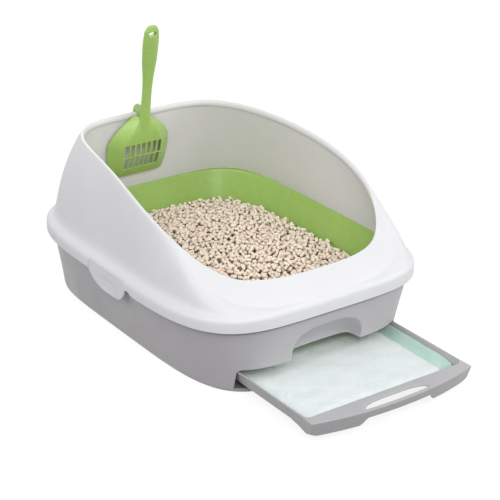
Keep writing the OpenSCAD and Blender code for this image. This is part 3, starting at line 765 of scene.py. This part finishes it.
# ---- drawer ----
def box_ring(half, front, back, z, back_radius, front_radius, straight=1):
    """A rounded rectangle in plan: corners of 12 steps, with so many steps on each straight side."""
    turn = np.linspace(0, math.pi / 2, 13)
    back_end, front_end = (back, 1, back_radius), (front, -1, front_radius)
    corners = []
    for k, (sx, (y, sy, r)) in enumerate(((1, back_end), (-1, back_end), (-1, front_end), (1, front_end))):
        th = turn + k * math.pi / 2
        corners.append(np.column_stack([sx * (half - r) + r * np.cos(th), y - sy * r + r * np.sin(th)]))
    points = []
    for corner, following in zip(corners, corners[1:] + corners[:1]):
        points += list(corner)
        points += [mix(corner[-1], following[0], i / straight) for i in range(1, straight)]
    return np.column_stack([np.array(points), np.full(len(points), float(z))])


def tray_ring(z, inset, back_radius, front_radius, straight=1):
    """A level ring of the tray, so far inside its outer faces."""
    k = 1 - min(max((z - TRAY_LOW) / (DRAWER_TOP - TRAY_LOW), 0), 1)
    half = TRAY_HALF - SIDE_LEAN * k - inset
    front = TRAY_FRONT + FRONT_LEAN * k + inset
    back = TRAY_BACK - SIDE_LEAN * k - inset
    return box_ring(half, front, back, z, back_radius, front_radius, straight)


def front_bow(x):
    """The drawer's front edge in plan."""
    return FRONT_Y + FRONT_BOW * (np.abs(x) / DRAWER_HALF) ** 2.2


def apron_low(x):
    """Height of the front's lower edge: raised between the two feet, rounded off at its ends."""
    a = np.abs(x)
    end = np.clip((a - DRAWER_HALF + 11.5) / 12.5, 0, 1)
    return mix(GRIP_LOW, FOOT_LOW, ease((a - FOOT_IN + 8) / 13)) + 9 * (1 - np.sqrt(1 - end ** 2))


def flared(points):
    """Leans the front's sides in, and blends them into the leaning walls of the tray."""
    down = DRAWER_TOP - points[..., 2]
    tray = TRAY_HALF - 0.15 - SIDE_LEAN * down / (DRAWER_TOP - TRAY_LOW)
    front = DRAWER_HALF - 2.5 * down / (DRAWER_TOP - FOOT_LOW)
    half = mix(front, tray, ease((points[..., 1] - TRAY_FRONT + 6) / 44))
    points[..., 0] *= half / DRAWER_HALF
    return points


def front_section(x, cheek, shrink):
    """Corners of the front's section at x: along its underside to the foot, up its face and back along
    the shelf. A cheek is filled, and runs back along the tray."""
    top, low = DRAWER_TOP - shrink, apron_low(x) + shrink
    bow = front_bow(x) + shrink
    foot = bow + FRONT_SLOPE * (top - low)
    if cheek:
        lower = [(TRAY_FRONT + 40, 15.5), (TRAY_FRONT + 20, 13 + shrink), (TRAY_FRONT + 3, 11.8 + shrink)]
        upper = [(TRAY_FRONT - 3, top), (TRAY_FRONT + 40, top - 2)]
    else:
        lower = [(TRAY_FRONT + 3.6, top - 3), (bow + 3.2, top - 3), (foot + 3, low)]
        upper = [(mix(bow, TRAY_FRONT, 0.6), top), (TRAY_FRONT + 1.2, top)]
    return [(x, y, z) for y, z in lower + [(foot, low), (bow, top)] + upper]


def make_front():
    """The drawer's front: a bowed shelf over a skirt with two feet, with cheeks at its sides."""
    inner = DRAWER_HALF - 3.2
    edge = 1.1
    half = list(np.linspace(0, 46, 12)) + list(np.linspace(50, 64, 15)) + list(np.linspace(70, inner, 12))
    stations = [(x, False, 0.0) for x in half] + [(inner + 0.1, True, 0.0)]
    for turn in np.linspace(0, math.pi / 2, 6):
        stations.append((DRAWER_HALF - edge + edge * math.sin(turn), True, edge * (1 - math.cos(turn))))
    stations = [(-x, cheek, shrink) for x, cheek, shrink in stations[:0:-1]] + stations
    corners = np.array([front_section(*station) for station in stations])
    rings = rounded(corners, [0.3, 1.5, 0.8, 0.9, 1.8, 4, 0.3])
    n, m, _ = rings.shape
    points, faces = list(rings.reshape(-1, 3)), grid_faces(n, m)
    # each side is closed by a grid between the two halves of its ring, from the foot to the back
    tip, rows = m // 2, 6
    for first in (0, (n - 1) * m):
        lines = [[first + tip - j for j in range(1, tip)]]
        for k in range(1, rows):
            lines.append(list(range(len(points), len(points) + tip - 1)))
            points += [mix(points[first + tip - j], points[first + tip + j], k / rows) for j in range(1, tip)]
        lines.append([first + tip + j for j in range(1, tip)])
        for a, b in zip(lines, lines[1:]):
            faces += [(first + tip, a[0], b[0])] + [(a[j], a[j + 1], b[j + 1], b[j]) for j in range(tip - 2)]
        faces.append((first, *(line[-1] for line in lines), first + m - 1))
    return new_body("drawer_front", flared(np.array(points)), faces)


def slot_ring(d, z):
    """The handle slot's outline, grown by d at its ends and far edge."""
    u = np.linspace(-1, 1, 41)
    half = HANDLE_SLOT / 2 + d
    near = front_bow(half * u) + SLOT_LAND - 0.2 * d
    far = near + (SLOT_DEEP + 1.2 * d) * np.maximum(1 - np.abs(u) ** 3.0, 0) ** 0.5
    plan = np.concatenate([np.column_stack([half * u, near]), np.column_stack([half * u, far])[-2:0:-1]])
    return np.column_stack([plan, np.full(len(plan), float(z))])


def make_drawer():
    low, top, wall = TRAY_LOW, DRAWER_TOP, DRAWER_WALL
    # height, how far inside the tray's outer faces, and the radii of the back and front corners
    stack = [
        (low, 30, 6, 6), (low, 2.6, 12, 12), (low + 0.5, 1.0, 13, 13), (low + 1.8, 0.15, 13, 13),
        (top - 4, 0.35, 15, 4), (top - 3, 0, 16, 2), (top - 0.9, 0, 16, 2), (top - 0.3, 0.25, 15.8, 2),
        (top, 0.8, 15.2, 2), (top, wall - 0.7, 14, 9), (top - 0.3, wall - 0.2, 13.8, 9),
        (top - 0.9, wall, 13.6, 9), (low + 6, wall, 11, 9), (low + 3.6, wall + 0.6, 10, 9),
        (low + 2.5, wall + 1.8, 9, 9), (low + 2.2, wall + 4, 8, 8), (low + 2.2, 30, 6, 6),
    ]
    tray = ring_stack("drawer_tray", [tray_ring(*level) for level in stack])
    combine(tray, make_front(), "UNION")
    levels = [(0, -6), (0, -2), (0.4, -1.5), (1.4, -1), (3, -0.5), (5, -0.15), (7, 0.1), (8, 1)]
    combine(tray, ring_stack("cut", [slot_ring(d, top + z) for d, z in levels]), "DIFFERENCE")
    smooth_by_angle(tray, 32)
    weighted(tray)
    finish_piece(tray, "drawer_unit", "drawer_plastic", DRAWER_GREY_SHADED, "drawer")


# ---- pad ----
def ripples(x, y, shortest, longest, count, seed):
    """A smooth uneven field of waves between two lengths, of about unit height."""
    random = np.random.default_rng(seed)
    total = np.zeros(np.shape(x))
    for _ in range(count):
        wave = 2 * math.pi / np.exp(random.uniform(math.log(shortest), math.log(longest)))
        turn, start = random.uniform(0, 2 * math.pi, 2)
        total = total + np.sin(wave * (x * math.cos(turn) + y * math.sin(turn)) + start)
    return total / math.sqrt(count / 2)


def make_film():
    """The pad's film: flat on the tray, and turned up its walls with a soft, uneven edge."""
    low, turn_up, thick = FILM_LOW[2], FILM_HIGH[2] - FILM_LOW[2] - 0.6, 0.45
    # height over the tray, how far inside the tray's faces, and corner radius
    outer = [
        (0, 70, 8), (0, 30, 14), (0, FILM_IN + 6, 20), (0.5, FILM_IN + 2.6, 22), (1.8, FILM_IN + 0.9, 24),
        (4.5, FILM_IN - 0.2, 26), (turn_up * 0.6, FILM_IN - 0.8, 27), (turn_up * 0.82, FILM_IN - 1.1, 28),
        (turn_up, FILM_IN - 1.2, 28),
    ]
    inner = [(z + (thick if z < 3 else 0), inset + thick, radius - thick) for z, inset, radius in outer[::-1]]
    rings = np.array([
        tray_ring(low + z, inset, radius, 0.55 * radius, straight=36) for z, inset, radius in outer + inner
    ])
    plan = rings[..., :2] - rings[:1, :, :2].mean(axis=1)
    lift = np.clip((rings[..., 2] - low - 3) / (turn_up - 3), 0, 1)
    at_front = ease((TRAY_FRONT + 44 - rings[..., 1]) / 30)
    rings[..., 2] += lift * (0.55 * ripples(plan[..., 0], plan[..., 1], 24, 90, 9, 5) - 3.4 * at_front)
    way_out = plan / np.linalg.norm(plan, axis=-1, keepdims=True)
    lean_in = lift * (0.3 + 0.3 * ripples(plan[..., 0], plan[..., 1], 18, 70, 8, 6))
    rings[..., :2] -= way_out * lean_in[..., None]
    obj = ring_stack("pad_film", rings)
    finish_piece(obj, "drawer_unit", "pad_film", FILM, "pad_backing")


def quilt_height(x, y, border):
    """Height of the pad's top over its underside, from its soft edge to its puckers and creases."""
    rise = (1 - np.clip(1 - border / 9, 0, 1) ** 2.4) ** 0.55
    puff = 0.32 * ripples(x, y, 26, 70, 14, 1) + 0.16 * ripples(x, y, 7, 16, 26, 2)
    fold = ripples(x + 0.35 * y, y * 0.3, 20, 46, 7, 3)
    puff -= 0.45 * np.exp(-((fold / 0.16) ** 2))
    return 0.3 + (PAD_HIGH[2] - PAD_LOW[2] - 1.1) * rise + np.minimum(puff, 0.9) * rise


def dense_ends(count):
    """Even steps from -1 to 1, drawn closer together at both ends."""
    t = np.linspace(-1, 1, count)
    return np.sign(t) * (1 - (1 - np.abs(t)) ** 1.25)


def make_pad():
    """The pad's quilted top: a thin cushion with soft edges, fine puckers and a few long creases."""
    rows, cols, radius = 170, 96, 7.0
    # the pad reaches further to the left, as in the photograph
    left_reach = 3.5
    y = mix(PAD_LOW[1], PAD_HIGH[1], (dense_ends(rows) + 1) / 2)
    end = np.minimum(y - PAD_LOW[1], PAD_HIGH[1] - y)
    half = PAD_HIGH[0] - radius + np.sqrt(np.maximum(radius ** 2 - np.maximum(radius - end, 0) ** 2, 1))
    half = half[:, None] + left_reach / 2
    u = dense_ends(cols)[None, :]
    x = u * half - left_reach / 2
    y = np.repeat(y[:, None], cols, 1)
    height = quilt_height(x, y, np.minimum(end[:, None], half * (1 - np.abs(u))))
    top = np.stack([x, y, PAD_LOW[2] + height], -1)
    under = np.stack([x, y, np.full(x.shape, PAD_LOW[2])], -1)
    obj = slab("pad_quilt", top, under)
    finish_piece(obj, "drawer_unit", "pad_fabric", NONWOVEN, "pad_top")


# ---- pan ----
def make_pan():
    th = even_angles(PAN_WALL_RING, 360)
    flange, wall = grow(TUB_TOP, -0.4), PAN_WALL
    # ring, how far out, height, and how far its corner is rounded
    levels = [
        (PAN_FLOOR_RING, -40, PAN_BOTTOM, 1), (PAN_FLOOR_RING, wall - 8, PAN_BOTTOM, 3),
        (PAN_FLOOR_RING, wall - 2, PAN_BOTTOM + 2.4, 3), (PAN_FLOOR_RING, wall, PAN_BOTTOM + 8, 3),
        (PAN_WALL_RING, wall, FLANGE_LOW - 2, 1), (PAN_WALL_RING, wall + 0.6, FLANGE_LOW, 0.6),
        (flange, 0, FLANGE_LOW, 0.5), (flange, 0, FLANGE_HIGH, 0.8), (PAN_WALL_RING, 1, FLANGE_HIGH, 1),
        (PAN_WALL_RING, 0, FLANGE_HIGH - 1.2, 2), (PAN_FLOOR_RING, 0, PAN_BOTTOM + PAN_ROUND, 4),
        (PAN_FLOOR_RING, -2.4, PAN_BOTTOM + 4, 3), (PAN_FLOOR_RING, -8, PAN_BOTTOM + wall, 3),
        (PAN_FLOOR_RING, -40, PAN_BOTTOM + wall, 1),
    ]
    rings = np.array([at(ring, th, w, z) for ring, w, z, _ in levels])
    obj = ring_stack("pan_shell", rounded_open(rings, [level[3] for level in levels[1:-1]], 4))
    combine(obj, pan_slots(), "DIFFERENCE")
    smooth_by_angle(obj, 40)
    finish_piece(obj, "pan_unit", "green_plastic", GREEN, "pan")


def pan_slots():
    """The rows of drain slots in the pan's floor, as one body to cut out."""
    rows, columns, radius = 5, 9, 1.7
    pitch_x = 2 * (PAN_FLOOR_RING.half - 22) / columns
    pitch_y = 2 * (PAN_FLOOR_RING.front - 26) / rows
    reach = pitch_y / 2 - 9
    turn = np.linspace(0, math.pi, 7)
    slots = []
    for i in range(columns):
        for j in range(rows):
            x = (i - (columns - 1) / 2) * pitch_x
            y = PAN_LINE.middle + (j - (rows - 1) / 2) * pitch_y
            outline = [
                (x + side * radius * math.cos(a), y + side * (reach + radius * math.sin(a)))
                for side in (1, -1) for a in turn
            ]
            slots.append((outline, PAN_BOTTOM - 2, PAN_BOTTOM + 6))
    return prism("cut", "z", *slots)


# ---- litter ----
BED_FLOOR = LITTER_LOW[2]
BED_EDGE, BED_HEAP = 20.0, 14.0
BED_WALL = grow(PAN_FLOOR_RING, PAN_LEAN * 10.5 / (FLANGE_HIGH - PAN_BOTTOM - PAN_ROUND) - 1.1)
# how far under the levelled bed the pellets start to pile up
BED_SUNK = 11.0
PELLET_COUNT = 6900
PELLET_TRIES = 7
PELLET_SEED = 11
PELLET_RADIUS = 2.55
# how far a pellet sinks into those under it
PELLET_SINK = 0.25
PELLET_SIDES = 8
GROUND_STEP = 0.75
# how deep between the pellets the shade is full
HOLLOW_DEPTH = 4.2


def bed_part(x, y, inset=0.0):
    """0 in the middle of the bed, 1 at the pan's wall less the inset."""
    ring = BED_WALL
    n = np.where(y < ring.middle, ring.n_front, ring.n_back)
    b = np.where(y < ring.middle, ring.front, ring.back) - inset
    return ((np.abs(x) / (ring.half - inset)) ** n + (np.abs(y - ring.middle) / b) ** n) ** (1 / n)


def bed_height(u):
    """Height of the levelled bed from its middle (0) to the wall (1)."""
    return BED_FLOOR + BED_EDGE + BED_HEAP * (1 - np.clip(u, 0, 1) ** 2.2)


def make_bed():
    """The deeper litter, which shows dark between the pellets that lie on it; its dark colour is painted
    shade.
    """
    th = even_angles(BED_WALL, 160)
    middle = np.array([0, BED_WALL.middle, 0])
    edge = at(BED_WALL, th, 0, 0)
    rings = [at(PAN_FLOOR_RING, th, w, BED_FLOOR + rise) for w, rise in ((-40, 0), (-10, 0), (-2, 7))]
    for u in np.linspace(1, 0.02, 60):
        ring = middle + (edge - middle) * u
        ring[:, 2] = bed_height(u) - BED_SUNK + 0.5 * ripples(ring[:, 0], ring[:, 1], 6, 20, 12, 8)
        rings.append(ring)
    obj = ring_stack("litter_bed", rings)
    finish_piece(obj, "pan_unit", "pellets", BED, "litter")


def blurred(field, reach):
    """A height field averaged over a square that reaches so many cells each way."""
    for axis, shape in ((0, (-1, 1)), (1, (1, -1))):
        total = np.cumsum(np.insert(field, 0, 0, axis=axis), axis=axis)
        last = np.minimum(np.arange(field.shape[axis]) + reach + 1, field.shape[axis])
        first = np.maximum(np.arange(field.shape[axis]) - reach, 0)
        sums = np.take(total, last, axis=axis) - np.take(total, first, axis=axis)
        field = sums / (last - first).reshape(shape)
    return field


class Ground:
    """The litter's surface, as heights on a square grid over the bed."""

    def __init__(self):
        self.low, self.high = LITTER_LOW[:2] - 4, LITTER_HIGH[:2] + 4
        x, y = (np.arange(a, b, GROUND_STEP) for a, b in zip(self.low, self.high))
        self.heights = bed_height(bed_part(x[None, :], y[:, None])) - BED_SUNK

    def cells(self, x, y):
        """The rows and columns of the cells that points lie in."""
        rows = np.rint((y - self.low[1]) / GROUND_STEP).astype(int)
        cols = np.rint((x - self.low[0]) / GROUND_STEP).astype(int)
        return rows, cols

    def painted_shade_depth(self, points):
        """How far points lie below the ground around them, for the pellets' painted shade."""
        level = blurred(self.heights, 7)
        rows, cols = self.cells(points[..., 0], points[..., 1])
        rows = np.clip(rows, 0, level.shape[0] - 1)
        cols = np.clip(cols, 0, level.shape[1] - 1)
        return level[rows, cols] - points[..., 2]


def settle(ground, count, random):
    """Drops pellets on the ground one at a time, each where it lies lowest out of a few tries.
    Returns their middles, directions and lengths."""
    r = PELLET_RADIUS
    # a pellet is taken as a row of balls along its middle line
    balls = np.linspace(-1, 1, 5)
    reach = int(r / GROUND_STEP)
    di, dj = np.mgrid[-reach:reach + 1, -reach:reach + 1]
    near = np.hypot(di, dj) * GROUND_STEP <= r
    di, dj = di[near], dj[near]
    cap = np.sqrt(np.maximum(r * r - (np.hypot(di, dj) * GROUND_STEP) ** 2, 0))

    def lie(length):
        """A place picked at random inside the pan's wall, and how a pellet comes to rest there."""
        while True:
            x = random.uniform(ground.low[0], ground.high[0])
            y = random.uniform(ground.low[1], ground.high[1])
            turn = random.uniform(0, math.pi)
            half = (length / 2 - r * 0.6) * np.array([math.cos(turn), math.sin(turn)])
            ends = np.array([[x, y] - half, [x, y] + half])
            if bed_part(ends[:, 0], ends[:, 1], r + 0.6).max() < 1:
                break
        rows, cols = ground.cells(x + balls * half[0], y + balls * half[1])
        rows, cols = rows[:, None] + di, cols[:, None] + dj
        rest = (ground.heights[rows, cols] + cap).max(axis=1)
        # it leans as the heights under its ends ask, and lies on the ball that stands out most
        slope = np.clip((rest[-1] - rest[0]) / 2, -0.45 * length, 0.45 * length)
        level = (rest - slope * balls).max()
        over = level - bed_height(bed_part(x, y))
        return over, np.array([x, y, level]), np.array([*half, slope]), (rows, cols)

    centres, directions, lengths = np.zeros((count, 3)), np.zeros((count, 3)), np.zeros(count)
    for k in range(count):
        length = random.uniform(5.2, 9.2)
        _, middle, along, cells = min([lie(length) for _ in range(PELLET_TRIES)], key=lambda place: place[0])
        np.maximum.at(ground.heights, cells, (middle[2] + along[2] * balls)[:, None] + cap - PELLET_SINK)
        centres[k], directions[k], lengths[k] = middle, along / np.linalg.norm(along), length
    return centres, directions, lengths


def pellet_points(centres, directions, lengths, random):
    """Each pellet's points (count, points, 3): four rings of a rough cylinder, and its two tips."""
    count = len(lengths)
    ends = [(-1, 0.66, 0), (-1, 0.95, 0.5), (1, 0.95, -0.5), (1, 0.66, 0)]
    turn = np.arange(PELLET_SIDES) * 2 * math.pi / PELLET_SIDES
    across = np.cross(directions, [0.1, 0.2, 1])
    across /= np.linalg.norm(across, axis=1, keepdims=True)
    up = np.cross(directions, across)
    radius = PELLET_RADIUS * random.uniform(0.9, 1.04, count)
    spin = random.uniform(0, 2 * math.pi, count)
    points = []
    for side, share, inset in ends:
        along = side * lengths / 2 + inset + random.uniform(-0.25, 0.25, count)
        for a in turn:
            rough = 1 + random.uniform(-0.05, 0.05, count)
            out = across * np.cos(a + spin)[:, None] + up * np.sin(a + spin)[:, None]
            points.append(centres + directions * along[:, None] + out * (radius * share * rough)[:, None])
    for side in (-1, 1):
        reach = side * (lengths / 2 + random.uniform(-0.1, 0.2, count))
        points.append(centres + directions * reach[:, None])
    return np.stack(points, axis=1)


def make_pellets():
    """Short pressed cylinders with worn ends, in four pieces that lie over the whole bed."""
    random = np.random.default_rng(PELLET_SEED)
    ground = Ground()
    points = pellet_points(*settle(ground, PELLET_COUNT, random), random)
    # painted shade: how deep each point lies under the ground around it, kept on the mesh for the pellets'
    # material
    shade = np.clip(ground.painted_shade_depth(points) / HOLLOW_DEPTH, 0, 1)
    sides, pieces = PELLET_SIDES, 4
    low_tip, high_tip = 4 * sides, 4 * sides + 1
    shape = grid_faces(4, sides)
    shape += [(low_tip, (j + 1) % sides, j) for j in range(sides)]
    shape += [(high_tip, 3 * sides + j, 3 * sides + (j + 1) % sides) for j in range(sides)]
    for piece in range(pieces):
        some = points[piece::pieces]
        size = some.shape[1]
        faces = [tuple(i + k * size for i in f) for k in range(len(some)) for f in shape]
        obj = new_mesh(f"pellets_{piece + 1}", some.reshape(-1, 3), faces)
        attribute = obj.data.attributes.new("painted_shade_depth", "FLOAT", "POINT")
        attribute.data.foreach_set("value", shade[piece::pieces].ravel())
        smooth_by_angle(obj, 48)
        finish_piece(obj, "pan_unit", "pellets", PELLET)


# ---- scoop ----
SCOOP_LEAN = math.radians(11)
SCOOP_X = (SCOOP_LOW[0] + SCOOP_HIGH[0]) / 2
SCOOP_Y = OPENING.middle + OPENING.back - 2.8
SCOOP_Z = RIM_BACK + 0.4
SCOOP_HALF = (SCOOP_HIGH[0] - SCOOP_LOW[0]) / 2
BOWL_LENGTH = 101.0
BOWL_DEPTH = 16.5
BOWL_WALL = 2.2
BOWL_ROWS, BOWL_COLUMNS = 60, 81
HANDLE_LENGTH = 150.0
# height, half width and half thickness of the handle
HANDLE = [
    (-20, 11, 4), (-8, 9.4, 4.2), (6, 8.4, 4.4), (40, 7.9, 4.4), (62, 8.6, 4.4), (80, 10.8, 4.4),
    (96, 12.8, 4.5), (126, 13.6, 4.6), (141, 12, 4.2), (148, 8, 3.2), (150, 3, 1.6),
]


def bowl_row(u, less):
    """A row across the bowl at u, from the neck (0) to the tip (1): up one side, over the flat, down
    the other. The inner face has its sizes made less by the wall."""
    half = mix(10.5, SCOOP_HALF, math.sin(math.pi * u)) if u < 0.5 else SCOOP_HALF - 8.5 * (2 * u - 1) ** 2.4
    flat = mix(0.62, 0.8, ease(2 * u - 1))
    if u < 0.3:
        deep = mix(12.6, BOWL_DEPTH + 1.5, math.sin(math.pi / 2 * u / 0.3))
    else:
        deep = mix(BOWL_DEPTH + 1.5, 3.2, ((u - 0.3) / 0.7) ** 2.4)
    half, deep = half - less, max(0.3, deep - less)
    t = np.linspace(-1, 1, BOWL_COLUMNS)
    k = np.abs(t)
    v = np.clip((k - 0.36) / 0.64, 0, 1)
    x = half * np.sign(t) * np.where(k < 0.36, 0.9 * flat * k / 0.36, mix(0.9 * flat, 1, v ** 1.25))
    return np.column_stack([x, -deep * (1 - v ** 1.25), np.full(len(t), -u * BOWL_LENGTH)])


def make_bowl():
    rows, cols, last = BOWL_ROWS, BOWL_COLUMNS, 2 * BOWL_ROWS + 1
    outer = [bowl_row(i / rows, 0) for i in range(rows + 1)]
    inner = [bowl_row(i / rows, BOWL_WALL) for i in range(rows, -1, -1)]
    faces = grid_faces(last + 1, cols, loop_rows=True, loop_cols=False)
    for col in (0, cols - 1):
        for k in range(rows):
            faces.append(tuple(row * cols + col for row in (k, k + 1, last - 1 - k, last - k)))
    return new_body("scoop_bowl", np.concatenate(outer + inner), faces)


def make_handle():
    z = np.concatenate([np.linspace(-20, 140, 90), np.linspace(141, 150, 12)])
    heights, *profile = np.array(HANDLE).T
    wide, thick = (np.interp(z, heights, sizes) for sizes in profile)
    # the straight runs between the stations are eased together
    soft = np.ones(9) / 9
    for sizes in (wide, thick):
        sizes[4:86] = np.convolve(sizes, soft, "same")[4:86]
    a = np.linspace(0, 2 * math.pi, 48, endpoint=False)
    c, s = np.cos(a), np.sin(a)
    rings = [np.column_stack([w * c, t * s - 13.4, np.full(len(a), h)]) for h, w, t in zip(z, wide, thick)]
    return ring_stack("scoop_handle", rings)


def make_hook():
    """The hook's side view: it springs from the neck, arches over the hood's lip and comes down behind it."""
    over, under, rise = LIP_WIDTH + 5.5, 2.3, 16.0
    turn = np.linspace(math.pi / 2, 0, 16)
    outline = [(-14, -4), (-14, rise)]
    outline += [(-4 + (over + 6) * math.cos(a), (rise + 1.4) * math.sin(a)) for a in turn]
    outline += [(over + 1.8, -7), (over - 0.4, -7.4), (over - 1.2, under - 1), (over - 2.6, under)]
    outline += [(-0.6, under), (-1.4, under - 1.4), (-2, -2)]
    return prism("scoop_hook", "x", (outline, -5, 5))


def scoop_slots():
    """The bowl's two rows of slots, and the hole at the top of the handle, as one body to cut out."""
    slots, half_slot, radius = 7, 2.7, 3.2
    parts = []
    for row, (high, low) in enumerate(((0.41, 0.61), (0.64, 0.835))):
        span = 2 * SCOOP_HALF - 42 - 3 * row
        for i in range(slots):
            x = (i - (slots - 1) / 2) * span / slots
            ends = ((-1, low), (1, low), (1, high), (-1, high))
            outline = [(x + side * half_slot, -u * BOWL_LENGTH) for side, u in ends]
            parts.append((outline, -BOWL_DEPTH - 10, -1))
    hole = []
    for a in np.linspace(0, 2 * math.pi, 33)[:-1]:
        x = radius * math.cos(a) + math.copysign(3, math.cos(a))
        hole.append((x, HANDLE_LENGTH - 13 + radius * math.sin(a)))
    parts.append((hole, -40, 10))
    return prism("cut", "y", *parts)


def make_scoop():
    obj = make_bowl()
    combine(obj, scoop_slots(), "DIFFERENCE")
    handle = make_handle()
    combine(handle, scoop_slots(), "DIFFERENCE")
    combine(obj, handle, "UNION")
    combine(obj, make_hook(), "UNION")
    remesh = obj.modifiers.new("melt", "REMESH")
    remesh.mode = "VOXEL"
    remesh.voxel_size = 0.72 * MM
    soften = obj.modifiers.new("soften", "SMOOTH")
    soften.factor = 0.5
    soften.iterations = 8
    apply_modifiers(obj)
    obj.name = "scoop_body"
    obj.data.transform(Matrix.Rotation(SCOOP_LEAN, 4, "X"))
    obj.data.transform(Matrix.Translation(Vector((SCOOP_X, SCOOP_Y, SCOOP_Z)) * MM))
    obj.data.shade_smooth()
    finish_piece(obj, "scoop_unit", "scoop_plastic", SCOOP_GREEN, "scoop")


# ---- stage, camera and lamps ----
WORLD_LIGHT = 0.4
SKY_SEEN = 0.94
FLOOR_LIFT = 0.86
FLOOR_HALF = 9000
FLOOR_DROP = 0.3
CAMERA_AZIMUTH = -34.72
CAMERA_ELEVATION = 24.12
CAMERA_ROLL = -0.12
CAMERA_DISTANCE = 2146.0
CAMERA_TARGET = (-0.4, -66.4, 115.7)
FOCAL_PIXELS = 1549.5
PHOTO_WIDTH = 500


def put_out(tree, kind, lit, seen):
    """Sends one shader out to light the object, and another to the camera and to what a glossy or clear
    surface shows of the background."""
    path = add_node(tree, "ShaderNodeLightPath", {}).outputs
    ray = path["Is Camera Ray"]
    for other in ("Is Glossy Ray", "Is Transmission Ray"):
        ray = add_node(tree, "ShaderNodeMath", {0: ray, 1: path[other]}, operation="MAXIMUM").outputs[0]
    either = add_node(tree, "ShaderNodeMixShader", {0: ray, 1: lit.outputs[0], 2: seen.outputs[0]})
    add_node(tree, kind, {"Surface": either.outputs[0]})


def make_stage():
    """A plain pale floor and world: near white to the camera, plain light to the object."""
    world = bpy.data.worlds.new("studio")
    bpy.context.scene.world = world
    tree = empty_tree(world)
    light = add_node(tree, "ShaderNodeBackground", {"Color": (0.98, 0.99, 1.0, 1), "Strength": WORLD_LIGHT})
    sky = add_node(tree, "ShaderNodeBackground", {"Color": (1, 1, 1, 1), "Strength": SKY_SEEN})
    put_out(tree, "ShaderNodeOutputWorld", light, sky)

    corners = [(x * FLOOR_HALF, y * FLOOR_HALF, 0) for x, y in ((-1, -1), (1, -1), (1, 1), (-1, 1))]
    floor = new_mesh("floor", corners, [(0, 1, 2, 3)])
    floor.location.z = -FLOOR_DROP * MM
    material = bpy.data.materials.new("floor_pale")
    tree = empty_tree(material)
    paint = add_node(tree, "ShaderNodeBsdfDiffuse", {"Color": (0.25, 0.25, 0.25, 1)})
    seen_paint = add_node(tree, "ShaderNodeBsdfDiffuse", {"Color": (0.2, 0.2, 0.2, 1)})
    lift = add_node(tree, "ShaderNodeEmission", {"Color": (1, 1, 1, 1), "Strength": FLOOR_LIFT})
    lifted = add_node(tree, "ShaderNodeAddShader", {0: seen_paint.outputs[0], 1: lift.outputs[0]})
    put_out(tree, "ShaderNodeOutputMaterial", paint, lifted)
    floor.data.materials.append(material)


def add_lamp(name, place, aim, size, power):
    """A soft square lamp at place, facing aim. Places are in metres, power in watts."""
    data = bpy.data.lights.new(name, "AREA")
    data.shape = "SQUARE"
    data.size = size
    data.energy = power
    lamp = bpy.data.objects.new(name, data)
    lamp.location = place
    lamp.rotation_euler = (Vector(aim) - Vector(place)).to_track_quat("-Z", "Y").to_euler()
    bpy.context.scene.collection.objects.link(lamp)


def make_camera():
    """The photograph's camera, fitted to its outlines."""
    data = bpy.data.cameras.new("camera")
    data.sensor_width = 36
    data.lens = data.sensor_width * FOCAL_PIXELS / PHOTO_WIDTH
    camera = bpy.data.objects.new("camera", data)
    a, e = math.radians(CAMERA_AZIMUTH), math.radians(CAMERA_ELEVATION)
    back = Vector((math.sin(a) * math.cos(e), -math.cos(a) * math.cos(e), math.sin(e)))
    camera.location = (Vector(CAMERA_TARGET) + back * CAMERA_DISTANCE) * MM
    camera.rotation_euler = (-back).to_track_quat("-Z", "Y").to_euler()
    camera.rotation_euler.rotate_axis("Z", math.radians(CAMERA_ROLL))
    bpy.context.scene.collection.objects.link(camera)
    bpy.context.scene.camera = camera
    bpy.context.scene.view_settings.view_transform = "Standard"


def make_lights():
    """Large soft lamps all round: the strongest ahead and above, the others at the sides and behind."""
    middle = (0, -0.05, 0.1)
    add_lamp("front", (-1.3, -2.8, 2.1), middle, 1.6, 50)
    add_lamp("front_right", (1.3, -2.6, 2.3), middle, 1.4, 20)
    add_lamp("left", (-2.7, -0.2, 2.1), middle, 1.8, 33)
    add_lamp("right", (2.8, -1.5, 1.4), middle, 1.6, 34)
    add_lamp("back", (0.9, 2.9, 1.7), middle, 1.8, 34)


make_camera()
make_lights()
make_stage()
make_hood()
make_tab("side_tab_left", "tab_left", "latch_left", True)
make_tab("side_tab_right", "tab_right", "latch_right", False)
make_tub()
make_rails()
make_drawer()
make_film()
make_pad()
make_pan()
make_bed()
make_pellets()
make_scoop()
